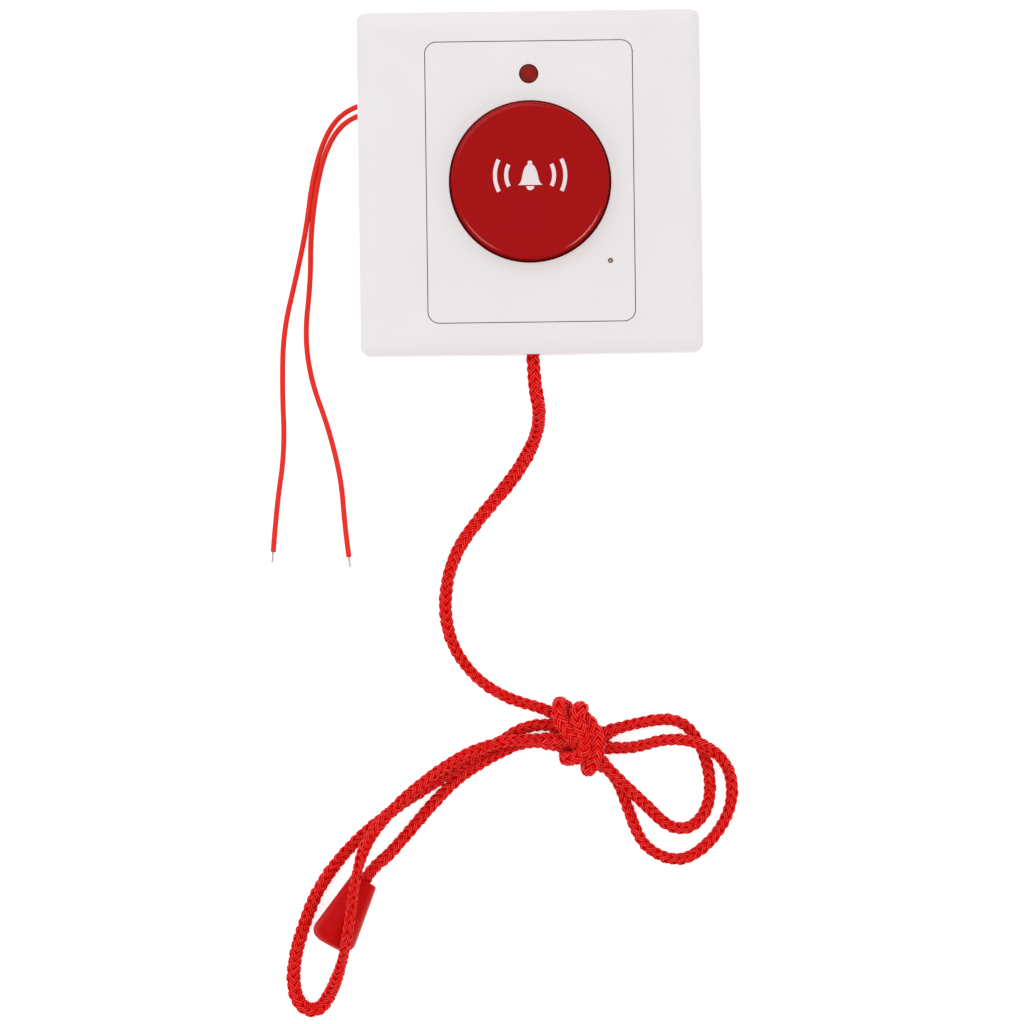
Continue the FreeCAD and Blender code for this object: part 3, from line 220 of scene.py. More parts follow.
def squash_of(path):
    """The shares of its own x, y and z by which the cord is drawn at each point of its line.

    It is pressed by the knot's half length less the distance along the knot's direction, over the
    fade, held between 0 and 1. It hangs free by its height over the one where that starts, over the
    rise, held so too. Each flat place adds its share times exp(-(distance / reach) squared).
    """
    x, y, z = path.T / MILLIMETRE
    along = (x - KNOT_MIDDLE[0]) * math.cos(KNOT_TURN) + (y - KNOT_MIDDLE[1]) * math.sin(KNOT_TURN)
    pressed = np.clip((KNOT_HALF_LENGTH - np.abs(along)) / KNOT_FADE, 0, 1)
    pressed = pressed * (np.abs(x - KNOT_MIDDLE[0]) < KNOT_SIDES)
    free = np.clip((z - FREE_HEIGHT) / FREE_RISE, 0, 1) * (y < FREE_BELOW)
    flat = sum(share * np.exp(-((x - at_x) ** 2 + (y - at_y) ** 2) / reach ** 2)
               for at_x, at_y, reach, share in FLAT_PLACES)
    wide, high = (lying + in_knot * pressed + hanging * free + in_place * flat
                  for lying, in_knot, hanging, in_place in (WIDTH_SHARES, HEIGHT_SHARES))
    return np.stack((wide, wide, high), axis=-1)[None]


def braid(name, line, thick=CORD_DIAMETER, pressed=True):
    """A braided cord along a line.

    Strand k of either way has the angle 2 pi k / 6 plus or minus the running length's share of a
    turn, and lies on a ring whose radius rises and falls as the cosine of three times that angle,
    up for one way where it is down for the other. The whole braid rolls by the sines of ROLLS, and
    each strand's ring strays by a sine of the running length. The attribute rise holds each
    corner's height over the cord's middle, as a share of the cord's radius; the braid's material
    paints shade from it where a strand lies low.
    """
    scale = thick / CORD_DIAMETER
    path, run = even_steps(line, BRAID_STEP * scale)
    side, up = carried_sides(path)
    roll = sum(share * np.sin(2 * np.pi * run / (length * scale)) for share, length in ROLLS)
    squash = squash_of(path) if pressed else np.ones((1, len(path), 3))
    way = np.repeat([1.0, -1.0], STRANDS_EACH_WAY)[:, None]
    phase = np.tile(np.arange(STRANDS_EACH_WAY), 2)[:, None] * 2 * np.pi / STRANDS_EACH_WAY
    angle = phase + way * run[None] * 2 * np.pi / (BRAID_LEAD * scale)
    slack_phase = SLACK_OFFSET * np.arange(2 * STRANDS_EACH_WAY)[:, None]
    slack = STRAND_SLACK * np.sin(2 * np.pi * run[None] / (SLACK_LENGTH * scale) + slack_phase)
    radius = (STRAND_RING + slack + way * STRAND_RISE * np.cos(STRANDS_EACH_WAY / 2 * angle)) * scale
    outward = np.cos(angle + roll)[..., None] * side[None] + np.sin(angle + roll)[..., None] * up[None]
    middle = path[None] + radius[..., None] * outward * squash
    along = np.gradient(middle, axis=1)
    along /= np.linalg.norm(along, axis=2)[..., None]
    across = np.cross(along, outward)
    across /= np.linalg.norm(across, axis=2)[..., None]
    half = np.array([STRAND_WIDTH, STRAND_THICKNESS]) / 2 * scale * STRAND_OUTLINE
    rings = middle[:, :, None] + (half[None, None, :, :1] * across[:, :, None]
                                  + half[None, None, :, 1:] * outward[:, :, None]) * squash[:, :, None]
    turn = np.arange(STRANDS_EACH_WAY) * 2 * np.pi / STRANDS_EACH_WAY
    core = (path[:, None] + CORE_RADIUS * scale * squash[0][:, None]
            * (np.cos(turn)[None, :, None] * side[:, None] + np.sin(turn)[None, :, None] * up[:, None]))
    corners, faces, uv = skin_rings(np.concatenate((rings, core[None])), run)
    cord = add_piece(name, corners, faces, uv)
    heights = (radius[..., None] + half[None, None, :, 1]) / (thick / 2)
    inner = np.full((1,) + heights.shape[1:], heights.min())
    layer = cord.data.attributes.new("rise", "FLOAT", "POINT")
    layer.data.foreach_set("value", np.concatenate((heights, inner)).ravel())
    return cord


def linear(hex_colour):
    """Turns an sRGB hex colour into Blender's linear red, green, blue and full alpha."""
    parts = np.array([int(hex_colour[i:i + 2], 16) for i in (1, 3, 5)]) / 255
    return tuple(np.where(parts <= 0.04045, parts / 12.92, ((parts + 0.055) / 1.055) ** 2.4)) + (1.0,)


def add_node(tree, kind, inputs=None, **settings):
    """Adds a node: settings are its own, and inputs gives each named socket a number or a link."""
    node = tree.nodes.new(kind)
    for key, value in settings.items():
        setattr(node, key, value)
    for key, value in (inputs or {}).items():
        if isinstance(value, bpy.types.NodeSocket):
            tree.links.new(value, node.inputs[key])
        else:
            node.inputs[key].default_value = value
    return node


def new_material(name, colour, **inputs):
    """Starts a material with its shader's own values: returns it, its nodes and its shader."""
    material = bpy.data.materials.new(name)
    material.use_nodes = True
    tree = material.node_tree
    shader = tree.nodes["Principled BSDF"]
    shader.inputs["Base Color"].default_value = linear(colour)
    for key, value in inputs.items():
        shader.inputs[key.replace("_", " ")].default_value = value
    return material, tree, shader


def set_stops(ramp, tones):
    """Gives a colour ramp one stop for each place and colour, from first to last."""
    for place, _ in tones[1:-1]:
        ramp.elements.new(place)
    for stop, (place, colour) in zip(ramp.elements, tones):
        stop.position = place
        stop.color = linear(colour)


# Braided polyester: each strand is two parallel yarns, and two bright streaks are painted on its back
# as highlights, with a painted dark line of shade between them. Painted shade darkens a strand where it
# dips under the others. Below, yarn is 1 on a yarn's back and 0 between two, the wear and glint noise
# strays along the strand and sets how bright the painted glints are, and the recess shade is 0 deep in
# the braid.
YARNS_AROUND = 3             # streaks over the whole of a strand's outline; two of them face outwards
WEAR_GLINT_LENGTH = 0.0016         # of the patches where the yarns shine more or less
WEAR_GLINT_AROUND = 14.0           # patches once round a strand
YARN_RELIEF = 0.0002
# the red with painted shade deep in the braid, on a strand's flank, and with a painted highlight on the
# back of a yarn that shines
CORD_PAINTED_TONES = ((0.0, "#CC0001"), (0.45, "#EE0504"), (1.0, "#FF4C47"))
polyester_braid, tree, shader = new_material("braided_polyester", CORD_PAINTED_TONES[1][1], Roughness=0.34)
pattern = add_node(tree, "ShaderNodeUVMap", uv_map="pattern")
split = add_node(tree, "ShaderNodeSeparateXYZ", {"Vector": pattern.outputs["UV"]})
turns = add_node(tree, "ShaderNodeMath", {0: split.outputs["Y"], 1: 2 * math.pi * YARNS_AROUND},
                 operation="MULTIPLY")
wave = add_node(tree, "ShaderNodeMath", {0: turns.outputs["Value"]}, operation="COSINE")
yarn = add_node(tree, "ShaderNodeMapRange", {"Value": wave.outputs["Value"], "From Min": 0.6,
                                             "From Max": -1.0, "To Min": 0.0, "To Max": 1.0})
stretched = add_node(tree, "ShaderNodeMapping", {"Vector": pattern.outputs["UV"],
                                                 "Scale": (1 / WEAR_GLINT_LENGTH, WEAR_GLINT_AROUND, 1.0)})
wear_and_glint = add_node(tree, "ShaderNodeTexNoise", {"Vector": stretched.outputs["Vector"], "Scale": 1.0,
                                             "Detail": 2.0})
rise = add_node(tree, "ShaderNodeAttribute", attribute_name="rise")
# painted shade: the colour darkens where a strand lies low in the braid
recess_shade = add_node(tree, "ShaderNodeMapRange", {"Value": rise.outputs["Fac"], "From Min": 0.4,
                                              "From Max": 0.95}, interpolation_type="SMOOTHSTEP")
# painted highlight on each yarn's back, and painted shade in the line between two yarns
painted_yarn_streaks = add_node(tree, "ShaderNodeMapRange", {"Value": yarn.outputs["Result"], "To Min": 0.3,
                                              "To Max": 1.15})
# patches of wear that make the painted glints brighter or dimmer
glint_spread = add_node(tree, "ShaderNodeMapRange", {"Value": wear_and_glint.outputs["Fac"], "From Min": 0.33,
                                               "From Max": 0.67, "To Min": 0.3, "To Max": 1.2})
shaped = add_node(tree, "ShaderNodeMath", {0: recess_shade.outputs["Result"], 1: painted_yarn_streaks.outputs["Result"]},
                  operation="MULTIPLY")
painted_tone = add_node(tree, "ShaderNodeMath", {0: shaped.outputs["Value"], 1: glint_spread.outputs["Result"]},
                operation="MULTIPLY", use_clamp=True)
# the tone picks the colour, from painted shade through the red to a painted highlight
dye_and_painted_light = add_node(tree, "ShaderNodeValToRGB", {"Fac": painted_tone.outputs["Value"]})
set_stops(dye_and_painted_light.color_ramp, CORD_PAINTED_TONES)
tree.links.new(dye_and_painted_light.outputs["Color"], shader.inputs["Base Color"])
gloss = add_node(tree, "ShaderNodeMapRange", {"Value": painted_tone.outputs["Value"], "From Min": 0.3,
                                              "To Min": 0.0, "To Max": 0.3})
tree.links.new(gloss.outputs["Result"], shader.inputs["Specular IOR Level"])
relief = add_node(tree, "ShaderNodeMath", {0: yarn.outputs["Result"], 1: wear_and_glint.outputs["Fac"]},
                  operation="ADD")
ridges = add_node(tree, "ShaderNodeBump", {"Height": relief.outputs["Value"], "Strength": 0.7,
                                           "Distance": YARN_RELIEF})
tree.links.new(ridges.outputs["Normal"], shader.inputs["Normal"])

cord_line = follow_spline([*CORD_RUN, *KNOT_WRAPS, *LOOP_A, LOOP_A_TO_FAR_LOOP, *FAR_LOOP[::-1],
                           FAR_LOOP_TO_LOOP_B, *LOOP_B, LOOP_B_TO_GRIP, *CORD_TO_GRIP])
cord = braid("pull_cord_braid", cord_line)
cord.data.materials.append(polyester_braid)
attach(cord, "pull")
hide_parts("pull_cord", "cord_loop_a", "cord_loop_b", "cord_far_loop", "cord_to_grip",
            "cord_knot")

# the two stop knots, in the slider and in the grip
STOP_KNOT_CORD = 0.4         # the cord's thickness in it, drawn tight, as a share of its least side
STOP_KNOT_ROOM = 1.1         # thicknesses by which the cord's line is smaller than the knot
TREFOIL_REACH = (2.77, 3, 1)             # the formula's greatest x, y and z
TREFOIL_END = 2 * np.pi * 1.02           # past one turn, so that the ends run into one another
TREFOIL_POINTS = 160


def stop_knot(name, node):
    """A tight knot as a trefoil, x = sin t + 2 sin 2t, y = cos t - 2 cos 2t, z = -sin 3t, that fills
    the box of the node that it stands for."""
    low, high = (np.array(corner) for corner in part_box(node))
    thick = (high - low).min() * STOP_KNOT_CORD
    reach = (high - low - thick * STOP_KNOT_ROOM) / 2
    t = np.linspace(0, TREFOIL_END, TREFOIL_POINTS)
    shape = np.column_stack((np.sin(t) + 2 * np.sin(2 * t), np.cos(t) - 2 * np.cos(2 * t),
                             -np.sin(3 * t))) / TREFOIL_REACH
    knot = braid(name, (low + high) / 2 + shape * reach, thick, pressed=False)
    knot.data.materials.append(polyester_braid)
    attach(knot, "pull")
    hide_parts(node)
    return knot


slider_knot = stop_knot("slider_stop_knot", "anchor_knot")
grip_stop_knot = stop_knot("grip_stop_knot", "grip_knot")

# lead wires
# Two red stranded wires, 1.4 mm over their PVC, leave the box at its left side. Their last 3 mm are
# stripped, and show the twisted tinned strands.
WIRE_DIAMETER = 0.0014
WIRE_SIDES = 20
WIRE_STEP = 0.0008           # length between two rings of corners
# The routes are the CAD's, in millimetres, with some points moved by up to 0.7 mm to follow the
# photograph.
WIRE_1 = [(-17, 20.6, 9.2), (-31, 20.6, 9.2), (-41.5, 24, 7), (-49.5, 21.5, 1.6), (-54, 14.5, 0.8),
          (-56.9, 4, 0.75), (-58.5, -8, 0.75), (-61.4, -21, 0.75), (-64.9, -35, 0.75),
          (-65.4, -50, 0.75), (-64.9, -66, 0.75), (-67.3, -81, 0.75), (-68.3, -92.6, 0.75)]
WIRE_2 = [(-17, 18.2, 9.2), (-31, 18.2, 9.2), (-41, 21.4, 7), (-48.4, 19.6, 1.6), (-53.1, 12.8, 0.8),
          (-55.9, 2, 0.75), (-57.4, -10, 0.75), (-57.6, -22, 0.75), (-59.3, -36, 0.75),
          (-57.8, -48, 0.75), (-53.5, -60, 0.75), (-50.2, -74, 0.75), (-49.5, -86, 0.75),
          (-48.5, -94.2, 0.75)]
TIP_LENGTH = 0.0028
TIP_LAY = 0.006              # length in which a stripped strand goes once round
TIP_STEPS = 16
TIP_STRANDS = 7
TIP_STRAND = 0.00024         # a strand's diameter
TIP_NESTING = 0.95           # the outer strands' distance from the middle one, in diameters
STRAND_SIDES = 6

GRAIN_SIZE = 0.0006          # drawn coarser than it is, so that it shows
GRAIN_RELIEF = 0.00001
CLOUD_SIZE = 1 / 45          # metres: faint lighter and darker patches, some 22 mm across
CLOUD_LEVEL = 0.975          # of the darkest patch
# a Mix node's sockets for colours: how much of the second, the first, the second, and the mixture
MIX_SHARE, MIX_FIRST, MIX_SECOND, MIX_RESULT = 0, 6, 7, 2


def grained(name, colour, grain=GRAIN_SIZE, **inputs):
    """A plastic or metal of one colour with faint clouding, and its surface's fine grain as bump."""
    material, tree, shader = new_material(name, colour, **inputs)
    place = add_node(tree, "ShaderNodeTexCoord")
    clouds = add_node(tree, "ShaderNodeTexNoise", {"Vector": place.outputs["Object"],
                                                   "Scale": 1 / CLOUD_SIZE, "Detail": 2.0})
    shade = add_node(tree, "ShaderNodeMapRange", {"Value": clouds.outputs["Fac"], "From Min": 0.3,
                                                  "From Max": 0.7, "To Min": CLOUD_LEVEL,
                                                  "To Max": 1.0})
    tint = add_node(tree, "ShaderNodeMix", {MIX_SHARE: shade.outputs["Result"],
                                            MIX_FIRST: linear("#000000"), MIX_SECOND: linear(colour)},
                    data_type="RGBA")
    tree.links.new(tint.outputs[MIX_RESULT], shader.inputs["Base Color"])
    specks = add_node(tree, "ShaderNodeTexNoise", {"Vector": place.outputs["Object"],
                                                   "Scale": 1 / grain, "Detail": 1.0})
    bump = add_node(tree, "ShaderNodeBump", {"Height": specks.outputs["Fac"], "Strength": 0.35,
                                             "Distance": GRAIN_RELIEF})
    tree.links.new(bump.outputs["Normal"], shader.inputs["Normal"])
    return material


# Extruded PVC: an even, satin red with hardly a highlight.
wire_skin = grained("red_wire_pvc", "#E93229", Roughness=0.38, Specular_IOR_Level=0.07)
# Tinned copper: a dull silver, brighter where a strand turns to the light.
tip_metal = grained("tinned_copper", "#E2DFDA", Metallic=0.4, Roughness=0.4)


def wire_tube(name, line):
    """A round tube: each ring is the line's point plus radius times cosine and sine of the angle."""
    path, run = even_steps(line, WIRE_STEP)
    side, up = carried_sides(path)
    turn = np.arange(WIRE_SIDES) * 2 * np.pi / WIRE_SIDES
    rings = path[:, None] + WIRE_DIAMETER / 2 * (np.cos(turn)[None, :, None] * side[:, None]
                                                 + np.sin(turn)[None, :, None] * up[:, None])
    corners, faces, uv = skin_rings(rings[None], run)
    return add_piece(name, corners, faces, uv)


def twisted_tip(name, start, heading):
    """Stripped strands: one in the middle, and six round it whose angle grows with the length."""
    run = np.linspace(0, TIP_LENGTH, TIP_STEPS)
    heading = heading / np.linalg.norm(heading)
    side = np.cross(heading, (0, 0, 1))
    up = np.cross(side, heading)
    path = start + run[:, None] * heading
    phase = np.arange(TIP_STRANDS - 1) * 2 * np.pi / (TIP_STRANDS - 1)
    angle = phase[:, None] + run[None] * 2 * np.pi / TIP_LAY
    out = np.cos(angle)[..., None] * side + np.sin(angle)[..., None] * up
    middles = np.concatenate((path[None], path[None] + TIP_STRAND * TIP_NESTING * out))
    turn = np.arange(STRAND_SIDES) * 2 * np.pi / STRAND_SIDES
    ring = np.cos(turn)[:, None] * side + np.sin(turn)[:, None] * up
    corners, faces, uv = skin_rings(middles[:, :, None] + TIP_STRAND / 2 * ring[None, None], run)
    return add_piece(name, corners, faces, uv)


for number, points in ((1, WIRE_1), (2, WIRE_2)):
    line = follow_spline(points)
    wire = wire_tube(f"lead_wire_{number}_skin", line)
    wire.data.materials.append(wire_skin)
    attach(wire, "root")
    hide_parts(f"lead_wire_{number}")
    tip = twisted_tip(f"lead_tip_{number}_strands", line[-1], line[-1] - line[-2])
    tip.data.materials.append(tip_metal)
    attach(tip, "root")
    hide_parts(f"lead_tip_{number}")

# front frame, panel and housing
# Three mouldings in white ABS: the clip-on frame and the panel in it, which the eye sees, and the
# housing behind them. Their CAD shapes are the real ones.
ABS_WHITE = "#EAE5E6"
WINDOW_RADIUS = 0.0204       # of the panel's round window for the button
# where the painted light ring and the painted wall shade start and are full, outwards from that radius
PAINTED_LIGHT_RING = (0.0016, 0.0001)
PAINTED_WALL_SHADE = (0.00003, 0.00001)


def dress(node, material):
    """Gives a CAD node's object its material."""
    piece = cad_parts[node]
    piece.data.materials.clear()
    piece.data.materials.append(material)


def paint_ring(material, start, full, colour):
    """Paints light or shade as a colour mixed in between two distances from the plate's axis: none at
    the first, all at the second, where the gloss is gone too."""
    tree = material.node_tree
    shader = tree.nodes["Principled BSDF"]
    own = shader.inputs["Base Color"].links[0].from_socket
    place = add_node(tree, "ShaderNodeTexCoord")
    flat = add_node(tree, "ShaderNodeVectorMath", {0: place.outputs["Object"], 1: (1, 1, 0)},
                    operation="MULTIPLY")
    reach = add_node(tree, "ShaderNodeVectorMath", {0: flat.outputs["Vector"]}, operation="LENGTH")
    share = add_node(tree, "ShaderNodeMapRange", {"Value": reach.outputs["Value"], "From Min": start,
                                                  "From Max": full})
    tint = add_node(tree, "ShaderNodeMix", {MIX_SHARE: share.outputs["Result"], MIX_FIRST: own,
                                            MIX_SECOND: linear(colour)}, data_type="RGBA")
    tree.links.new(tint.outputs[MIX_RESULT], shader.inputs["Base Color"])
    gloss = shader.inputs["Specular IOR Level"]
    less = add_node(tree, "ShaderNodeMapRange", {"Value": share.outputs["Result"],
                                                 "To Min": gloss.default_value, "To Max": 0.0})
    tree.links.new(less.outputs["Result"], gloss)


# Moulded ABS: a soft white satin, with the mould's fine grain and wide, weak highlights.
white_abs = grained("white_moulded_abs", ABS_WHITE, Roughness=0.38, Specular_IOR_Level=0.4)
panel_abs = grained("white_panel_abs", ABS_WHITE, Roughness=0.38, Specular_IOR_Level=0.4)
# A lighter ring is painted on the white plastic beside the button, as painted light against the
# button's shadow there, and the window's wall beside the button's flank has a painted dark red shade.
paint_ring(panel_abs, WINDOW_RADIUS + PAINTED_LIGHT_RING[0], WINDOW_RADIUS + PAINTED_LIGHT_RING[1], "#F6F2F2")
paint_ring(panel_abs, WINDOW_RADIUS + PAINTED_WALL_SHADE[0], WINDOW_RADIUS + PAINTED_WALL_SHADE[1], "#6A1416")
# The housing's ABS is plain and duller, because nobody sees it once it is in the wall.
housing_abs = grained("white_housing_abs", "#E6E2E1", Roughness=0.5, Specular_IOR_Level=0.4)
dress("front_frame", white_abs)
dress("face_panel", panel_abs)
dress("back_housing", housing_abs)

# button
# The push button is a round cap with a low crown, moulded in red ABS and polished. A white bell
# between sound arcs is printed on it with a pad.
BUTTON_TOP = 0.032
BUTTON_CROWN = 0.0007        # how much the crown falls from its middle to its edge
BUTTON_RADIUS = 0.0201
BUTTON_EDGE_SHADE = (0.0006, 0.0003)    # where the edge's shade starts and is full, inwards from there
PRINT_PLACE = (0.0, 0.0012)
PRINT_LIFT = 0.00003
BELL_HEIGHT = 0.0053
BELL_LIFT = 0.0002
BELL_HALF_WIDTH = 0.0031
BELL_DOME = (0.66, 2.6)      # the dome's share of the half width, and its roundness
BELL_FLARE = (0.34, 0.13)    # the flare's share, and the share of the height in which it dies away
KNOB_RADIUS = 0.0006
KNOB_LIFT = 0.0004
CLAPPER_RADIUS = 0.0010
CLAPPER_DROP = 0.0001
ARC_RADII = (0.0060, 0.0088)
ARC_WIDTH = 0.001
ARC_HALF_ANGLE = math.radians(27)
# rows and columns of the marks' grids
BELL_GRID = (28, 12)
DISC_GRID = (6, 24)
ARC_GRID = (4, 24)

# Polished ABS: a deep, even red with small sharp reflections.
button_abs = grained("red_polished_abs", "#A5080A", Roughness=0.1, Specular_IOR_Level=0.4)
# painted shade on the edge, a little darker where the wall turns down away from the light
paint_ring(button_abs, BUTTON_RADIUS - BUTTON_EDGE_SHADE[0], BUTTON_RADIUS - BUTTON_EDGE_SHADE[1], "#7A0407")
dress("button_cap", button_abs)
# Pad print ink: a thin, matt white with the red faintly in it.
print_ink = grained("white_pad_print_ink", "#E9DDE0", Roughness=0.55)


def print_on_crown(x, y):
    """Lays print grids on the crown: height is the top less the crown's share of radius squared."""
    x, y = x + PRINT_PLACE[0], y + PRINT_PLACE[1]
    drop = BUTTON_CROWN * (x * x + y * y) / BUTTON_RADIUS ** 2
    return np.stack((x, y, BUTTON_TOP - drop + PRINT_LIFT), axis=-1)


def skin_grid(points):
    """Corners and quads of an open grid, rows by columns by xyz, turned to face up."""
    rows, columns, _ = points.shape
    index = np.arange(rows * columns).reshape(rows, columns)
    quads = np.stack((index[:-1, :-1], index[:-1, 1:], index[1:, 1:], index[1:, :-1]), axis=-1)
    corners, quads = points.reshape(-1, 3), quads.reshape(-1, 4)
    first, second, _, last = (corners[quads[:, i]] for i in range(4))
    faces_up = np.cross(second - first, last - first)[:, 2].sum() > 0
    return corners, quads if faces_up else quads[:, ::-1]


def bell_body():
    """Half width is a dome's, the root of 1 less a power of the rise, plus exp(-rise) as a flare."""
    rows, columns = BELL_GRID
    rise, across = np.meshgrid(np.linspace(0, 1, rows), np.linspace(-1, 1, columns), indexing="ij")
    half = BELL_HALF_WIDTH * (BELL_DOME[0] * np.sqrt(1 - rise ** BELL_DOME[1])
                              + BELL_FLARE[0] * np.exp(-rise / BELL_FLARE[1]))
    return print_on_crown(across * half, rise * BELL_HEIGHT - BELL_HEIGHT / 2 + BELL_LIFT)


def print_disc(y, radius, low=-math.pi, high=math.pi):
    """A disc or a part of one: radius times cosine and sine, from the middle out."""
    rows, columns = DISC_GRID
    out, angle = np.meshgrid(np.linspace(0, 1, rows), np.linspace(low, high, columns), indexing="ij")
    return print_on_crown(radius * out * np.cos(angle), y + radius * out * np.sin(angle))


def sound_arc(radius, middle):
    """A stroke at one radius about the bell, between two angles."""
    rows, columns = ARC_GRID
    out, angle = np.meshgrid(np.linspace(-0.5, 0.5, rows),
                             np.linspace(-ARC_HALF_ANGLE, ARC_HALF_ANGLE, columns), indexing="ij")
    reach = radius + out * ARC_WIDTH
    return print_on_crown(reach * np.cos(angle + middle), reach * np.sin(angle + middle))


marks = [bell_body(), print_disc(BELL_HEIGHT / 2 + KNOB_LIFT, KNOB_RADIUS),
         print_disc(-BELL_HEIGHT / 2 - CLAPPER_DROP, CLAPPER_RADIUS, -math.pi, 0)]
marks += [sound_arc(radius, middle) for radius in ARC_RADII for middle in (0, math.pi)]
corners, faces, count = [], [], 0
for mark in marks:
    points, quads = skin_grid(mark)
    corners.append(points)
    faces += (quads + count).tolist()
    count += len(points)
bell_print = add_piece("button_bell_print", np.vstack(corners), faces)
bell_print.data.materials.append(print_ink)
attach(bell_print, "button")

# pull grip
# The grip is a hollow cone with a domed wide end, moulded in one in red polypropylene. The cord goes
# in at its narrow end and is held by a stop knot inside.
GRIP_GRAIN = 0.0009          # coarser than the plate's
# Moulded polypropylene: a waxy, satin red with hardly a highlight.
grip_plastic = grained("red_grip_polypropylene", "#C30305", grain=GRIP_GRAIN, Roughness=0.36,
                       Specular_IOR_Level=0.07)
dress("cord_grip", grip_plastic)

# lamp
# The lamp is a 5 mm light-emitting diode, cast in red tinted epoxy with a low crown, and unlit. A
# nylon spacer holds it over the board on two tinned leads.
LAMP_PLACE = (0.0, 0.0271)
LAMP_RADIUS = 0.00235
# Tinted epoxy: a dark red disc with a painted brighter, redder middle over the cup, and a painted very
# dark rim of shade.
LAMP_PAINTED_TONES = ((0.0, "#AE1119"), (0.3, "#98120F"), (0.45, "#84190F"), (0.86, "#7C170E"),
              (1.0, "#3E060A"))
lamp_epoxy, tree, shader = new_material("red_tinted_epoxy", LAMP_PAINTED_TONES[0][1], Roughness=0.3,
                                        Specular_IOR_Level=0.2)
place = add_node(tree, "ShaderNodeTexCoord")
centred = add_node(tree, "ShaderNodeMapping", {"Vector": place.outputs["Object"],
                                               "Location": (-LAMP_PLACE[0], -LAMP_PLACE[1], 0),
                                               "Scale": (1, 1, 0)})
reach = add_node(tree, "ShaderNodeVectorMath", {0: centred.outputs["Vector"]}, operation="LENGTH")
share = add_node(tree, "ShaderNodeMath", {0: reach.outputs["Value"], 1: LAMP_RADIUS},
                 operation="DIVIDE")
# painted light and shade by distance from the lamp's middle: brighter in the middle, dark at the rim
tint = add_node(tree, "ShaderNodeValToRGB", {"Fac": share.outputs["Value"]})
set_stops(tint.color_ramp, LAMP_PAINTED_TONES)
tree.links.new(tint.outputs["Color"], shader.inputs["Base Color"])
dress("lamp_lens", lamp_epoxy)
# Tinned wire and solder: bright, slightly warm metal.
tinned_wire = grained("tinned_leads", "#CFCCC6", Metallic=1.0, Roughness=0.3)
dress("lamp_leads", tinned_wire)
dress("lead_solder", tinned_wire)

# switches, slider and board
# Inside stand three switches in black nylon with white acetal stems, on a glass-epoxy board under
# green resist, the acetal slider that the cord pulls, the button's spring and four plated screws.
RESIST_GRAIN = 0.0015        # from the glass cloth under the resist
# Moulded nylon: a dull black.
black_nylon = grained("black_switch_nylon", "#26262A", Roughness=0.45)
# Moulded acetal: a waxy white, and the reset plunger's salmon.
white_acetal = grained("white_stem_acetal", "#DEDCD6", Roughness=0.4)
salmon_acetal = grained("salmon_plunger_acetal", "#C98A74", Roughness=0.45)
# Glass epoxy under resist: a satin green, a little uneven.
green_resist = grained("glass_epoxy_green_resist", "#31704A", grain=RESIST_GRAIN, Roughness=0.4)
# Drawn spring steel: a smooth grey metal. Zinc plate: a paler, bluish one.
spring_wire = grained("drawn_spring_steel", "#B9B9BA", Metallic=1.0, Roughness=0.28)
zinc_plate = grained("zinc_plated_screw_steel", "#C7CACB", Metallic=1.0, Roughness=0.34)
for node, material in (("push_switch_body", black_nylon), ("reset_switch_body", black_nylon),
                       ("pull_switch_body", black_nylon), ("lamp_spacer", black_nylon),
                       ("push_switch_stem", white_acetal), ("pull_switch_stem", white_acetal),
                       ("pull_slider", white_acetal), ("reset_plunger", salmon_acetal),
                       ("circuit_board", green_resist), ("button_spring", spring_wire),
                       ("board_screws", zinc_plate)):
    dress(node, material)

# resistor
# The lamp's series resistor lies on the board: a small ceramic rod, dipped in beige lacquer, with
# four painted bands across its length.
RESISTOR_BEIGE = "#D8C29A"
RESISTOR_BANDS = ((-0.28, "#7A4A20"), (-0.1, "#151515"), (0.08, "#B5291F"), (0.3, "#C9A23A"))
BANDS_LENGTH = 0.7           # share of the rod's length that the bands' places are measured in
BAND_HALF_WIDTH = 0.0003
low, high = (np.array(corner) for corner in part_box("lamp_resistor"))
axis = int(np.argmax(high - low))
# Dipped lacquer: a warm beige with a slight gloss, under the bands' paint.
resistor_coat, tree, shader = new_material("resistor_lacquer", RESISTOR_BEIGE, Roughness=0.35)
place = add_node(tree, "ShaderNodeTexCoord")
split = add_node(tree, "ShaderNodeSeparateXYZ", {"Vector": place.outputs["Object"]})
coat = linear(RESISTOR_BEIGE)
for share, colour in RESISTOR_BANDS:
    middle = (low + high)[axis] / 2 + share * (high - low)[axis] * BANDS_LENGTH
    near = add_node(tree, "ShaderNodeMath", {0: split.outputs[axis], 1: middle, 2: BAND_HALF_WIDTH},
                    operation="COMPARE")
    band = add_node(tree, "ShaderNodeMix", {MIX_SHARE: near.outputs["Value"], MIX_FIRST: coat,
                                            MIX_SECOND: linear(colour)}, data_type="RGBA")
    coat = band.outputs[MIX_RESULT]
tree.links.new(coat, shader.inputs["Base Color"])
dress("lamp_resistor", resistor_coat)

# table and light
# The product lies on a white table under wide soft light, mostly from the upper left. The table
# is white to the camera, and keeps a faint shadow.
TABLE_HALF = 3.0             # from the middle to each side
TABLE_HEIGHT = -0.0001       # just under the object, so that no two faces lie in one plane
TABLE_LIFT = 0.6             # what it gives off to the camera and in reflections
corners = [(x * TABLE_HALF, y * TABLE_HALF, TABLE_HEIGHT)
           for x, y in ((-1, -1), (1, -1), (1, 1), (-1, 1))]
table = add_piece("table_top", corners, [(0, 1, 2, 3)], smooth=False)
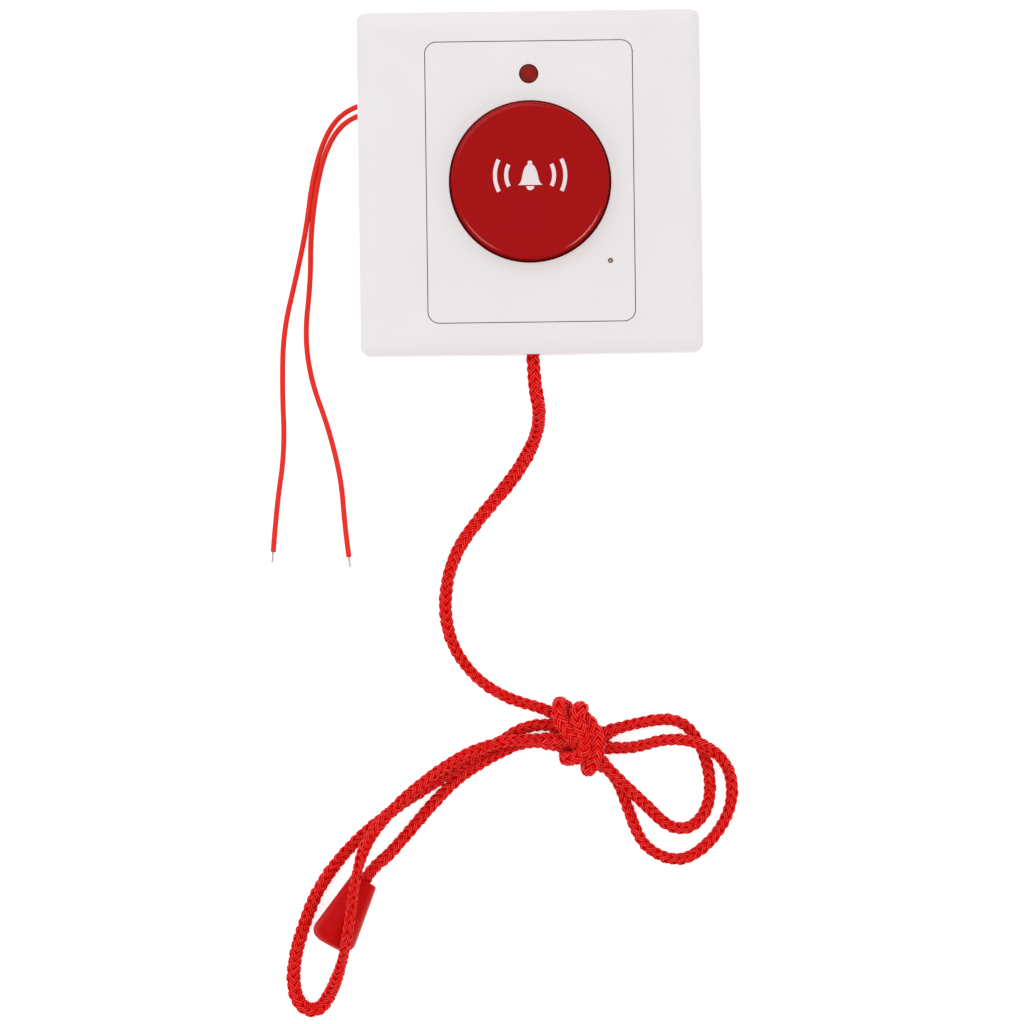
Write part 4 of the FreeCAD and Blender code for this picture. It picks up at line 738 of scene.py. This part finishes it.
# White paper: matt, with no gloss at all.
table_white, tree, shader = new_material("white_table", "#F4F4F4", Roughness=0.9,
                                         Specular_IOR_Level=0.0)
ray = add_node(tree, "ShaderNodeLightPath")
direct = add_node(tree, "ShaderNodeMath", {0: ray.outputs["Is Camera Ray"],
                                           1: ray.outputs["Is Glossy Ray"]}, operation="MAXIMUM")
lift = add_node(tree, "ShaderNodeMath", {0: direct.outputs["Value"], 1: TABLE_LIFT},
                operation="MULTIPLY")
shader.inputs["Emission Color"].default_value = linear("#FFFFFF")
tree.links.new(lift.outputs["Value"], shader.inputs["Emission Strength"])
table.data.materials.append(table_white)

# The room is white to what it lights and dim in reflections, where two small softboxes hang in
# front, to the left and right: direction, and level at its middle. Each fades over 8 degrees.
WORLD_LEVEL = 0.985
REFLECTED_LEVEL = 0.13
SOFTBOXES = [((-0.49, -0.415, 0.766), 3.6), ((0.53, -0.37, 0.766), 6.5)]
SOFTBOX_EDGES = (math.cos(math.radians(16)), math.cos(math.radians(8)))
world = bpy.data.worlds.new("studio")
bpy.context.scene.world = world
world.use_nodes = True
tree = world.node_tree
background = tree.nodes["Background"]
ray = add_node(tree, "ShaderNodeLightPath")
direct = add_node(tree, "ShaderNodeMath", {0: ray.outputs["Is Camera Ray"],
                                           1: ray.outputs["Is Transmission Ray"]},
                  operation="MAXIMUM")
towards = add_node(tree, "ShaderNodeTexCoord")
reflected = REFLECTED_LEVEL
for direction, level in SOFTBOXES:
    nearness = add_node(tree, "ShaderNodeVectorMath", {0: towards.outputs["Generated"],
                                                       1: Vector(direction).normalized()},
                        operation="DOT_PRODUCT")
    glow = add_node(tree, "ShaderNodeMapRange", {"Value": nearness.outputs["Value"],
                                                 "From Min": SOFTBOX_EDGES[0],
                                                 "From Max": SOFTBOX_EDGES[1], "To Max": level},
                    interpolation_type="SMOOTHSTEP")
    both = add_node(tree, "ShaderNodeMath", {0: glow.outputs["Result"], 1: reflected}, operation="ADD")
    reflected = both.outputs["Value"]
mirrored = add_node(tree, "ShaderNodeMapRange", {"Value": ray.outputs["Is Glossy Ray"],
                                                 "To Min": WORLD_LEVEL, "To Max": reflected})
strength = add_node(tree, "ShaderNodeMapRange", {"Value": direct.outputs["Value"],
                                                 "To Min": mirrored.outputs["Result"], "To Max": 1.0})
tree.links.new(strength.outputs["Result"], background.inputs["Strength"])
background.inputs["Color"].default_value = linear("#FFFFFF")

# A large softbox over the upper left, which gives the shadow its side.
KEY_PLACE = Vector((-0.35, 0.72, 0.75))
KEY_AIM = Vector((0, -0.08, 0))
KEY_SIZE = (1.0, 0.8)
KEY_POWER = 1.5
key_light = bpy.data.lights.new("key_softbox", "AREA")
key_light.shape = "RECTANGLE"
key_light.size, key_light.size_y = KEY_SIZE
key_light.energy = KEY_POWER
key = bpy.data.objects.new("key_softbox", key_light)
key.location = KEY_PLACE
key.rotation_euler = (KEY_AIM - KEY_PLACE).to_track_quat("-Z", "Y").to_euler()
bpy.context.collection.objects.link(key)
